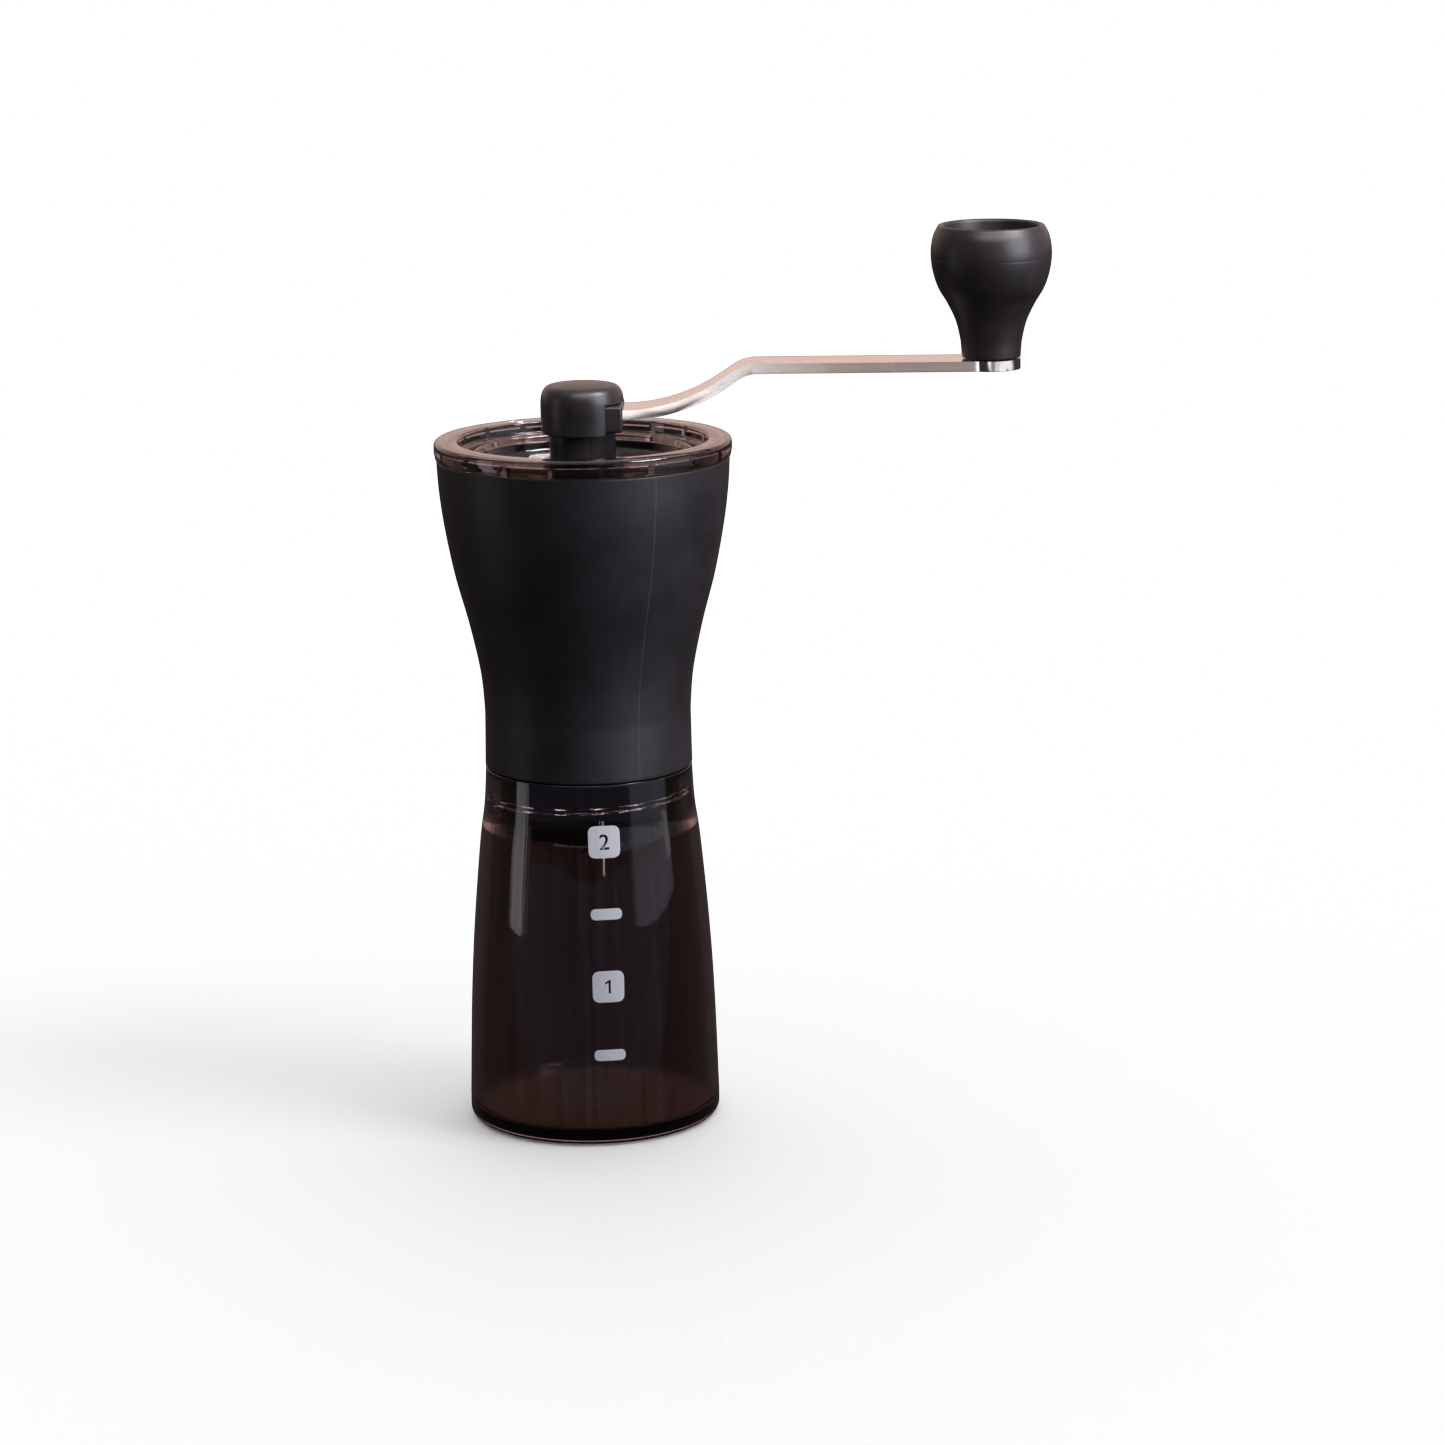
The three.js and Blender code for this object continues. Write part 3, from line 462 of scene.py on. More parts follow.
def naturalNylon(spec):
    finish = Finish("naturalNylon")
    cloud = finish.noise(finish.place, spec["cloudSize"], detail=4)
    finish.set(colour=finish.blend(cloud, spec["dark"], spec["light"]))
    finish.set(roughness=cloud * 0.2 + spec["roughness"], subsurface=0.2, subsurfaceScale=0.6 * mm)
    finish.relief(finish.noise(finish.place, spec["grain"]), spec["depth"])
    return finish.material


def sealRubber(spec):
    finish = Finish("sealRubber")
    bloom = finish.noise(finish.place, spec["bloomSize"], detail=5, roughness=0.7)
    finish.set(colour=finish.blend(bloom, spec["dark"], spec["light"]))
    finish.set(roughness=bloom * 0.15 + spec["roughness"], specular=0.3)
    finish.relief(finish.noise(finish.place, spec["grain"]), spec["depth"])
    return finish.material


def scalePrint(spec):
    finish = Finish("scalePrint")
    screen = finish.noise(finish.place, spec["screen"], detail=3)
    finish.set(colour=finish.blend(screen.fade(0.35, 0.75), spec["dark"], spec["light"]))
    finish.set(roughness=screen * 0.2 + spec["roughness"])
    finish.relief(screen, spec["depth"])
    return finish.material


finishes = {
    "hopper": mouldedBlack("hopperBlack", hasParting=True),
    "knob": mouldedBlack("knobBlack"),
    "hub": mouldedBlack("hubBlack"),
    "core": mouldedBlack("coreBlack"),
    "jar": smokyResin("jarResin"),
    "lid": smokyResin("lidResin"),
    "arm": satinSteel("armSteel"),
    "shaft": satinSteel("shaftSteel"),
    "fastener": satinSteel("fastenerSteel"),
    "ceramic": unglazedCeramic(ceramicSpec),
    "nylon": naturalNylon(nylonSpec),
    "rubber": sealRubber(rubberSpec),
    "print": scalePrint(printSpec),
}
print("materials made:", len(finishes))

# Mesh making


def placed(name, shape):
    mesh = bpy.data.meshes.new(name)
    shape.to_mesh(mesh)
    shape.free()
    piece = bpy.data.objects.new(name, mesh)
    bpy.context.scene.collection.objects.link(piece)
    return piece


def rounded(corners, closed=False, steps=4):
    # an outline whose corners (r, z, fillet) are rounded by their third number, where they have one
    points = []
    for i, corner in enumerate(corners):
        here = Vector(corner[:2])
        isEnd = not closed and i in (0, len(corners) - 1)
        if len(corner) < 3 or isEnd:
            points.append(tuple(here))
            continue
        toBefore = Vector(corners[i - 1][:2]) - here
        toAfter = Vector(corners[(i + 1) % len(corners)][:2]) - here
        reach = corner[2] / math.tan(toBefore.angle(toAfter) / 2)
        start = here + toBefore.normalized() * min(reach, 0.48 * toBefore.length)
        end = here + toAfter.normalized() * min(reach, 0.48 * toAfter.length)
        for step in range(steps + 1):
            t = step / steps
            points.append(tuple(start * (1 - t) ** 2 + here * (2 * t * (1 - t)) + end * t ** 2))
    return points


def curved(stations, steps):
    # a smooth run through the stations, with about the given number of steps between two of them
    points = []
    last = len(stations) - 1
    for i in range(last):
        a, b, c, d = (Vector(stations[min(max(k, 0), last)]) for k in (i - 1, i, i + 1, i + 2))
        for step in range(steps):
            t = step / steps
            spread = (c - a) * t + (2 * a - 5 * b + 4 * c - d) * t ** 2 + (3 * b - a - 3 * c + d) * t ** 3
            points.append(tuple(b + spread / 2))
    points.append(tuple(stations[-1]))
    return points


def radiusAt(outline, height):
    for (r0, z0), (r1, z1) in zip(outline, outline[1:]):
        if min(z0, z1) <= height <= max(z0, z1) and z0 != z1:
            return r0 + (r1 - r0) * (height - z0) / (z1 - z0)
    return outline[-1][0]


def column(radius, start, end, step):
    # points straight up or down a wall, close enough together to carry a thread
    count = max(1, round(abs(end - start) / step))
    return [(radius, start + (end - start) * i / count) for i in range(count + 1)]


def turned(name, outline, sides, shaping=None, centreX=0.0):
    # A body of revolution. The outline runs anticlockwise in r and z. It starts and ends on the axis,
    # or closes on itself. shaping(r, z, angle) moves single points, for threads and flutes.
    shape = bmesh.new()
    rows = []
    for r, z in outline:
        if r < 1e-6:
            rows.append([shape.verts.new((centreX * mm, 0, z * mm))])
            continue
        row = []
        for side in range(sides):
            angle = 2 * math.pi * side / sides
            radius, height, bearing = shaping(r, z, angle) if shaping else (r, z, angle)
            point = (centreX + radius * math.cos(bearing), radius * math.sin(bearing), height)
            row.append(shape.verts.new(Vector(point) * mm))
        rows.append(row)
    isRing = outline[0][0] > 1e-6
    pairs = list(zip(rows, rows[1:])) + ([(rows[-1], rows[0])] if isRing else [])
    for lower, upper in pairs:
        if len(lower) == 1 and len(upper) == 1:
            continue
        for i in range(sides):
            j = (i + 1) % sides
            if len(lower) == 1:
                shape.faces.new((lower[0], upper[j], upper[i]))
            elif len(upper) == 1:
                shape.faces.new((lower[i], lower[j], upper[0]))
            else:
                shape.faces.new((lower[i], lower[j], upper[j], upper[i]))
    return placed(name, shape)


def ring(name, inner, outer, bottom, top, sides=96, edge=0.2, centreX=0.0):
    corners = [(inner, bottom, edge), (outer, bottom, edge), (outer, top, edge), (inner, top, edge)]
    return turned(name, rounded(corners, closed=True), sides, centreX=centreX)


def rod(name, radius, bottom, top, sides=64, centreX=0.0):
    return turned(name, [(0, bottom), (radius, bottom), (radius, top), (0, top)], sides, centreX=centreX)


def block(name, low, high):
    shape = bmesh.new()
    bmesh.ops.create_cube(shape, size=1.0)
    centre = (Vector(low) + Vector(high)) / 2
    size = Vector(high) - Vector(low)
    for vert in shape.verts:
        vert.co = Vector([(centre[k] + vert.co[k] * size[k]) * mm for k in range(3)])
    return placed(name, shape)


def slab(name, outline, toPoint, low, high):
    # a flat outline carried from low to high: toPoint(a, b, c) gives the place of its point a, b at c
    shape = bmesh.new()
    ends = [[shape.verts.new(Vector(toPoint(a, b, c)) * mm) for a, b in outline] for c in (low, high)]
    shape.faces.new(ends[0])
    shape.faces.new(ends[1])
    for i in range(len(outline)):
        j = (i + 1) % len(outline)
        shape.faces.new((ends[0][i], ends[0][j], ends[1][j], ends[1][i]))
    bmesh.ops.recalc_face_normals(shape, faces=shape.faces)
    return placed(name, shape)


def settled(piece):
    # turns the piece and its modifiers into a plain mesh
    graph = bpy.context.evaluated_depsgraph_get()
    graph.update()
    mesh = bpy.data.meshes.new_from_object(piece.evaluated_get(graph))
    piece.modifiers.clear()
    old = piece.data
    piece.data = mesh
    bpy.data.meshes.remove(old)
    mesh.name = piece.name
    return piece


def discard(tool):
    mesh = tool.data
    bpy.data.objects.remove(tool)
    bpy.data.meshes.remove(mesh)


def combined(piece, tool, operation):
    cut = piece.modifiers.new("combine", "BOOLEAN")
    cut.operation = operation
    cut.solver = "EXACT"
    cut.object = tool
    settled(piece)
    discard(tool)
    return piece


def eased(piece, width, segments=2, limit=40.0):
    bevel = piece.modifiers.new("ease", "BEVEL")
    bevel.width = width * mm
    bevel.segments = segments
    bevel.limit_method = "ANGLE"
    bevel.angle_limit = math.radians(limit)
    bevel.use_clamp_overlap = True
    return settled(piece)


def geometryTree(name, inputs):
    tree = bpy.data.node_groups.new(name, "GeometryNodeTree")
    for label, kind in inputs:
        tree.interface.new_socket(label, in_out="INPUT", socket_type="NodeSocket" + kind)
    tree.interface.new_socket("Geometry", in_out="OUTPUT", socket_type="NodeSocketGeometry")
    graph = Graph(tree)
    source = tree.nodes.new("NodeGroupInput")
    given = {label: Wire(graph, source.outputs[label]) for label, _ in inputs}
    return graph, given


def closeTree(graph, geometry, material):
    whole = graph.add("GeometryNodeRealizeInstances", None, {"Geometry": geometry})
    painted = graph.add("GeometryNodeSetMaterial", None, {"Geometry": whole, "Material": material})
    graph.feed(graph.tree.nodes.new("NodeGroupOutput").inputs["Geometry"], painted)
    return graph.tree


def withTree(piece, tree, values):
    modifier = piece.modifiers.new(tree.name, "NODES")
    modifier.node_group = tree
    for item in tree.interface.items_tree:
        if item.in_out == "INPUT" and item.name in values:
            modifier[item.identifier] = values[item.name]
    return settled(piece)


def spreadTree(operation):
    # copies of a tool spread evenly round Z, then joined to the piece, cut from it, or left alone
    inputs = [("Geometry", "Geometry"), ("Tool", "Object"), ("Count", "Int"), ("First Angle", "Float")]
    graph, given = geometryTree("spread " + operation.lower(), inputs + [("Material", "Material")])
    points = graph.add("GeometryNodeMeshLine", None, {"Count": given["Count"], "Offset": (0, 0, 0)})
    index = graph.add("GeometryNodeInputIndex")
    angle = index * (2 * math.pi) / given["Count"] + given["First Angle"]
    turn = graph.add("ShaderNodeCombineXYZ", None, {"Z": angle})
    tool = graph.add("GeometryNodeObjectInfo", None, {"Object": given["Tool"]}, output=4)
    values = {"Points": points, "Instance": tool, "Rotation": turn}
    copies = graph.add("GeometryNodeInstanceOnPoints", None, values)
    if operation == "copies":
        return closeTree(graph, copies, given["Material"])
    node = graph.tree.nodes.new("GeometryNodeMeshBoolean")
    node.operation = operation
    node.solver = "EXACT"
    graph.feed(node.inputs["Mesh 1" if operation == "DIFFERENCE" else "Mesh 2"], given["Geometry"])
    graph.feed(node.inputs["Mesh 2"], copies)
    return closeTree(graph, Wire(graph, node.outputs[0]), given["Material"])


spreadTrees = {operation: spreadTree(operation) for operation in ("UNION", "DIFFERENCE", "copies")}


def spread(piece, tool, count, operation, material, firstAngle=0.0):
    values = {"Tool": tool, "Count": count, "First Angle": firstAngle, "Material": material}
    withTree(piece, spreadTrees[operation], values)
    discard(tool)
    return piece


def finished(piece, body, nodes, material, crease=35.0):
    mesh = piece.data
    mesh.materials.clear()
    mesh.materials.append(material)
    for face in mesh.polygons:
        face.material_index = 0
    mesh.shade_smooth()
    mesh.set_sharp_from_angle(angle=math.radians(crease))
    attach(piece, body)
    if nodes:
        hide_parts(*nodes)
    return piece


# Screw threads

jarThreadSpec = {"lead": 4.0, "turns": 1.5, "height": 0.8, "root": 1.4, "crest": 0.9, "topMargin": 2.2}
nutThreadSpec = {"lead": 1.0, "turns": 9.0, "height": 0.35, "root": 0.95, "crest": 0.15}


def threadRise(spec, startZ, z, angle):
    # how far the thread stands out at this height and bearing
    rise = 0.0
    steps = int(spec["turns"]) + 1
    for whole in range(steps):
        turn = angle / (2 * math.pi) + whole
        if turn > spec["turns"]:
            continue
        away = abs(z - startZ - spec["lead"] * turn)
        flank = (spec["root"] / 2 - away) / ((spec["root"] - spec["crest"]) / 2)
        runOut = min(1.0, 8 * turn, 8 * (spec["turns"] - turn))
        rise = max(rise, spec["height"] * min(1.0, max(0.0, flank)) * runOut)
    return rise


# Jar

jarSpec = {
    "sides": 160,
    "wall": 2.2,
    "mouthWall": 2.0,
    "lipWall": 0.7,
    "floor": 3.0,
    "floorFillet": 3.4,
    "footCorner": 4.2,
    "threadStep": 0.25,
}

jarHeight = jarHigh.z
footRadius = jarHigh.x
waistRadius = sealHigh.x + gap + jarSpec["lipWall"]
jarBore = waistRadius - jarSpec["mouthWall"]
jarLedge = sealLow.z - gap
jarThreadStart = jarLedge - jarThreadSpec["topMargin"] - jarThreadSpec["lead"] * jarThreadSpec["turns"]


def jarSide():
    # swell out from the waist, and height as a share of the jar's
    swell = footRadius - waistRadius
    shares = [(0.86, 0.33), (0.66, 0.55), (0.32, 0.79), (0.1, 0.895), (0, 1)]
    stations = [(footRadius, jarSpec["footCorner"])]
    stations += [(waistRadius + swell * out, jarHeight * up) for out, up in shares]
    return curved(stations, 10)


def makeJar(spec):
    side = jarSide()
    wall = spec["wall"]
    flareTop = jarThreadStart - jarThreadSpec["root"]
    flareBottom = hopperLow.z - gap
    insideTop = spec["floor"] + spec["floorFillet"] + 1
    inner = [(r - wall, z) for r, z in side if insideTop < z < flareBottom - 1]
    lipInner = waistRadius - spec["lipWall"]
    corners = [
        (0, 0),
        (footRadius, 0, spec["footCorner"]),
        *side[1:-1],
        (waistRadius, jarHeight, 0.6),
        (lipInner, jarHeight, 0.05),
        (lipInner, jarLedge, 0.15),
        (jarBore, jarLedge, 0.3),
        *column(jarBore, jarLedge - 0.8, flareTop, spec["threadStep"]),
        (radiusAt(side, flareBottom) - wall, flareBottom, 0.8),
        *inner[::-1],
        (radiusAt(side, insideTop) - wall, insideTop),
        (radiusAt(side, spec["footCorner"]) - wall, spec["floor"], spec["floorFillet"]),
        (0, spec["floor"]),
    ]

    def shaping(r, z, angle):
        onBore = abs(r - jarBore) < 0.001 and z < jarLedge - 0.5
        rise = threadRise(jarThreadSpec, jarThreadStart, z, angle) if onBore else 0.0
        return r - rise, z, angle

    outline = rounded(corners, steps=8)
    piece = turned("jar_shell", outline, spec["sides"], shaping)
    return finished(piece, "jar_body", ["jar"], finishes["jar"])


def makeSeal():
    outer = sealHigh.x
    piece = ring("jar_seal_ring", outer - 1.9, outer, sealLow.z, sealHigh.z, sides=128, edge=0.4)
    return finished(piece, "seal_body", ["jar_seal"], finishes["rubber"])


# The printed cup scale: two numbered plates and two bars, bent round the jar

scaleSpec = {
    "bearing": math.radians(-80.3),
    "film": 0.06,
    "plate": 7.7,
    "plateCorner": 1.9,
    "barWidth": 7.6,
    "barHeight": 2.7,
    "digitSize": 5.2,
    "digitBold": 0.07,
    "digitHeight": 3.3,
    "stroke": 0.55,
    "flag": 0.8,
    "flagDrop": 0.62,
    "flagSlant": 0.15,
    "slices": 8,
    "sliceWidth": 0.45,
    "clearance": 0.01,
    "marks": [("2", 75.25), (None, 57.75), ("1", 40.0), (None, 23.0)],
}


def fontTool(digit, spec):
    curve = bpy.data.curves.new("digit", "FONT")
    curve.body = digit
    curve.size = spec["digitSize"]
    curve.offset = spec["digitBold"]
    curve.extrude = 1.0
    text = bpy.data.objects.new("digit", curve)
    bpy.context.scene.collection.objects.link(text)
    graph = bpy.context.evaluated_depsgraph_get()
    shape = bmesh.new()
    shape.from_mesh(text.evaluated_get(graph).to_mesh())
    bmesh.ops.remove_doubles(shape, verts=shape.verts, dist=1e-5)
    low = Vector([min(v.co[k] for v in shape.verts) for k in range(3)])
    high = Vector([max(v.co[k] for v in shape.verts) for k in range(3)])
    for vert in shape.verts:
        vert.co = (vert.co - (low + high) / 2) * mm
    bpy.data.objects.remove(text)
    bpy.data.curves.remove(curve)
    return placed("digit_tool", shape)


def oneTool(spec):
    # a stem with a short flag
    tall = spec["digitHeight"] / 2
    stem = spec["stroke"]
    flag = spec["flag"]
    flagZ = tall - spec["flagDrop"]
    outline = [
        (0, -tall), (stem, -tall), (stem, tall), (stem * 0.3, tall), (-flag, flagZ),
        (-flag, flagZ - stem), (0, tall - stem - spec["flagSlant"]),
    ]
    return slab("digit_tool", outline, lambda a, b, c: (a, b, c), -1, 1)


def makeMark(name, digit, height, side, spec):
    wide = spec["plate"] if digit else spec["barWidth"]
    tall = spec["plate"] if digit else spec["barHeight"]
    corner = spec["plateCorner"] if digit else tall / 2 - 0.01
    x, y = wide / 2, tall / 2
    corners = [(-x, -y, corner), (x, -y, corner), (x, y, corner), (-x, y, corner)]
    outline = rounded(corners, closed=True, steps=8)
    plate = slab(name, outline, lambda a, b, c: (a, b, c), 0, spec["film"])
    if digit:
        tool = oneTool(spec) if digit == "1" else fontTool(digit, spec)
        combined(plate, tool, "DIFFERENCE")
    shape = bmesh.new()
    shape.from_mesh(plate.data)
    for step in range(-spec["slices"], spec["slices"] + 1):
        whole = shape.verts[:] + shape.edges[:] + shape.faces[:]
        across = (step * spec["sliceWidth"] * mm, 0, 0)
        bmesh.ops.bisect_plane(shape, geom=whole, plane_co=across, plane_no=(1, 0, 0))
    for vert in shape.verts:
        across, up, out = vert.co / mm
        radius = radiusAt(side, height + up)
        angle = spec["bearing"] + across / radius
        radius += out + spec["clearance"]
        vert.co = Vector((radius * math.cos(angle), radius * math.sin(angle), height + up)) * mm
    bmesh.ops.triangulate(shape, faces=shape.faces[:])
    bmesh.ops.recalc_face_normals(shape, faces=shape.faces[:])
    shape.to_mesh(plate.data)
    shape.free()
    return finished(plate, "jar_body", [], finishes["print"])


def makeScale(spec):
    side = jarSide()
    for i, (digit, height) in enumerate(spec["marks"]):
        makeMark("scale_mark_" + str(i + 1), digit, height, side, spec)


makeJar(jarSpec)
makeSeal()
makeScale(scaleSpec)
print("jar, seal and scale made")

# Hopper

hopperSpec = {
    "sides": 160,
    "wall": 2.2,
    "neckWall": 2.0,
    "throatLedge": 2.5,
    "funnelHeight": 18.0,
    "keyWidth": 3.0,
    "keyDepth": 1.2,
    "threadStep": 0.25,
}

hopperTop = hopperHigh.z
shoulderZ = jarHeight + gap
neckBottom = hopperLow.z
neckRadius = jarBore - 0.4 - jarThreadSpec["height"]
coreBore = neckRadius - hopperSpec["neckWall"]
ledgeZ = bridgeHigh.z + gap


def hopperSide():
    # swell out from the waist and height above the shoulder, both as shares
    swell = hopperHigh.x - waistRadius
    tall = hopperTop - shoulderZ
    shares = [
        (0.01, 0), (-0.005, 0.13), (0.0, 0.2), (0.08, 0.315), (0.32, 0.47), (0.62, 0.625), (0.84, 0.78),
        (0.955, 0.9), (1, 1),
    ]
    return curved([(waistRadius + swell * out, shoulderZ + tall * up) for out, up in shares], 8)


def makeHopper(spec):
    side = hopperSide()
    wall = spec["wall"]
    funnelTop = ledgeZ + spec["funnelHeight"]
    inner = [(r - wall, z) for r, z in side if funnelTop + 2 < z < hopperTop - 1]
    throat = coreBore - spec["throatLedge"]
    corners = [
        (coreBore, neckBottom, 0.3),
        (neckRadius, neckBottom, 0.5),
        *column(neckRadius, neckBottom + 1, shoulderZ - 1, spec["threadStep"]),
        (neckRadius, shoulderZ, 0.3),
        (side[0][0], shoulderZ, 0.35),
        *side[1:-1],
        (side[-1][0], hopperTop, 0.3),
        (side[-1][0] - wall, hopperTop, 0.4),
        *inner[::-1],
        (radiusAt(side, funnelTop) - wall, funnelTop, 2.5),
        (throat, ledgeZ + 1, 0.8),
        (throat, ledgeZ, 0.2),
        (coreBore, ledgeZ, 0.1),
    ]
    threadStart = jarThreadStart - jarThreadSpec["lead"] / 2

    def shaping(r, z, angle):
        onNeck = abs(r - neckRadius) < 0.001
        rise = threadRise(jarThreadSpec, threadStart, z, angle) if onNeck else 0.0
        return r + rise, z, angle

    piece = turned("hopper_shell", rounded(corners, closed=True), spec["sides"], shaping)
    half = spec["keyWidth"] / 2
    keyBottom = (bridgeLow.z + bridgeHigh.z) / 2
    low = (coreBore - spec["keyDepth"], -half, keyBottom)
    key = block("key_tool", low, (coreBore + spec["neckWall"] / 2, half, ledgeZ + gap))
    spread(piece, key, 3, "UNION", finishes["hopper"], math.pi / 3)
    return finished(piece, "hopper_body", ["hopper"], finishes["hopper"])


makeHopper(hopperSpec)
print("hopper made")

# Grinding core: bridge and bushes, outer burr, retainer and screws

coreSpec = {
    "bushWall": 1.1,
    "bushLength": 9,
    "bushFlange": 1.0,
    "bushFlangeWidth": 2.8,
    "bossWall": 2.0,
    "bossDrop": 3.4,
    "ringWall": 2.7,
    "armWidth": 3.6,
    "armHeight": 5.5,
    "retainerWidth": 4.2,
    "screwCount": 3,
    "screwRadius": 1.1,
    "screwHead": 1.2,
    "crossReach": 0.8,
    "crossWidth": 0.4,
    "crossDepth": 0.6,
}
fluteSpec = {
    "count": 7,
    "depth": 1.2,
    "startShare": 0.25,
    "twist": 0.9,
    "fineEach": 4,
    "fineDepth": 0.3,
    "fineFade": 2.2,
    "sidesEach": 18,
    "rows": 22,
    "grindGap": 0.5,
    "throatInset": 7.8,
    "outerEdge": 0.4,
    "innerBore": 7.6,
    "innerEdge": 0.3,
    "innerTopWall": 1.8,
    "innerRim": 1,
}

shaftRadius = -upperBushLow.x - coreSpec["bushFlangeWidth"] - gap
coreRadius = outerBurrHigh.x
bushInner = shaftRadius + gap
bushOuter = bushInner + coreSpec["bushWall"]
bossBore = bushOuter + gap
bossRadius = bossBore + coreSpec["bossWall"]
bridgeRingBottom = bridgeLow.z + coreSpec["bossDrop"]
bossTop = upperBushHigh.z - coreSpec["bushFlange"] - gap
screwPitch = (screwLow.x + screwHigh.x) / 2


def screwHole(bottom, top):
    return rod("hole_tool", coreSpec["screwRadius"] + gap, bottom, top, 32, screwPitch)


def makeBridge(spec):
    ringInner = coreRadius - spec["ringWall"]
    piece = ring("bridge_frame", ringInner, coreRadius, bridgeRingBottom, bridgeHigh.z, 128, 0.3)
    boss = ring("boss_tool", bossBore, bossRadius, bridgeLow.z, bossTop, 96, 0.3)
    combined(piece, boss, "UNION")
    half = spec["armWidth"] / 2
    low = (bossBore + 1, -half, bridgeRingBottom + 1)
    high = (coreRadius - spec["ringWall"] / 2, half, bridgeRingBottom + 1 + spec["armHeight"])
    arm = eased(block("arm_tool", low, high), 0.5, 3)
    spread(piece, arm, 3, "UNION", finishes["core"])
    half = hopperSpec["keyWidth"] / 2 + gap
    keyBottom = (bridgeRingBottom + bridgeHigh.z) / 2 - gap
    low = (coreRadius - hopperSpec["keyDepth"] - gap, -half, keyBottom)
    keyway = block("keyway_tool", low, (coreRadius + 1, half, bridgeHigh.z + 1))
    spread(piece, keyway, 3, "DIFFERENCE", finishes["core"], math.pi / 3)
    hole = screwHole(bridgeRingBottom - 1, bridgeRingBottom + 5)
    spread(piece, hole, spec["screwCount"], "DIFFERENCE", finishes["core"])
    return finished(piece, "hopper_body", ["shaft_bridge"], finishes["core"])


def makeBush(name, node, seat, away):
    flange = upperBushHigh.x
    farEnd = seat - away * coreSpec["bushLength"]
    nearEnd = seat + away * coreSpec["bushFlange"]
    corners = [
        (bushInner, farEnd, 0.15),
        (bushOuter, farEnd, 0.15),
        (bushOuter, seat, 0.1),
        (flange, seat, 0.2),
        (flange, nearEnd, 0.25),
        (bushInner, nearEnd, 0.25),
    ]
    outline = rounded(corners if away > 0 else corners[::-1], closed=True)
    piece = turned(name, outline, 72)
    return finished(piece, "hopper_body", [node], finishes["nylon"])


def flutedShaping(bottom, height, side, onFace):
    # Turns every row a little further than the one below it, and cuts saw teeth into the working face.
    def shaping(r, z, angle):
        share = min(1.0, max(0.0, (z - bottom) / height))
        tooth = angle / (2 * math.pi) * fluteSpec["count"]
        saw = tooth - math.floor(tooth + 1e-6)
        fine = saw * fluteSpec["fineEach"] - math.floor(saw * fluteSpec["fineEach"] + 1e-6)
        depth = fluteSpec["depth"] * min(1.0, fluteSpec["startShare"] + share)
        fineDepth = fluteSpec["fineDepth"] * max(0.0, 1 - share * fluteSpec["fineFade"])
        cut = depth * (1 - saw) + fineDepth * (1 - fine)
        moved = r + side * cut if onFace(r, z) else r
        return moved, z, angle - fluteSpec["twist"] * share
    return shaping


def slanted(startRadius, endRadius, start, end, count):
    # a straight working face, in rows that are close enough to carry the flutes
    return [(startRadius + (endRadius - startRadius) * i / count, start + (end - start) * i / count)
            for i in range(count + 1)]


def makeOuterBurr(spec):
    bottom, top = outerBurrLow.z, outerBurrHigh.z
    baseRadius = innerBurrHigh.x + spec["grindGap"]
    face = slanted(baseRadius, coreRadius - spec["throatInset"], bottom, top, spec["rows"])
    edge = spec["outerEdge"]
    outline = [(coreRadius - edge, bottom), (coreRadius, bottom + edge), (coreRadius, top - edge),
               (coreRadius - edge, top), *face[::-1]]

    def onFace(r, z):
        return r < coreRadius - 1 and z > bottom + 0.1

    shaping = flutedShaping(bottom, top - bottom, 1, onFace)
    piece = turned("outer_burr_ring", outline, spec["count"] * spec["sidesEach"], shaping)
    hole = screwHole(bottom - 1, top + 1)
    spread(piece, hole, coreSpec["screwCount"], "DIFFERENCE", finishes["ceramic"])
    return finished(piece, "hopper_body", ["outer_burr"], finishes["ceramic"], crease=30)


def makeInnerBurr(spec):
    bottom, top = innerBurrLow.z, innerBurrHigh.z
    bore = spec["innerBore"]
    edge = spec["innerEdge"]
    baseRadius = innerBurrHigh.x
    start = bottom + spec["innerRim"]
    face = slanted(baseRadius, bore + spec["innerTopWall"], start, top, spec["rows"])
    outline = [(bore, bottom + edge), (bore + edge, bottom), (baseRadius - 1, bottom), *face,
               (bore + edge, top), (bore, top - edge)]

    def onFace(r, z):
        return r > bore + 0.5 and start - 0.01 < z < top - 0.1

    shaping = flutedShaping(start, top - start, -1, onFace)
    piece = turned("inner_burr_cone", outline, spec["count"] * spec["sidesEach"], shaping)
    return finished(piece, "burr_body", ["inner_burr"], finishes["ceramic"], crease=30)


def makeRetainer(spec):
    inner = coreRadius - spec["retainerWidth"]
    piece = ring("burr_retainer_ring", inner, coreRadius, retainerLow.z, retainerHigh.z, 128, 0.5)
    hole = screwHole(retainerLow.z - 1, retainerHigh.z + 1)
    spread(piece, hole, spec["screwCount"], "DIFFERENCE", finishes["core"])
    return finished(piece, "hopper_body", ["burr_retainer"], finishes["core"])


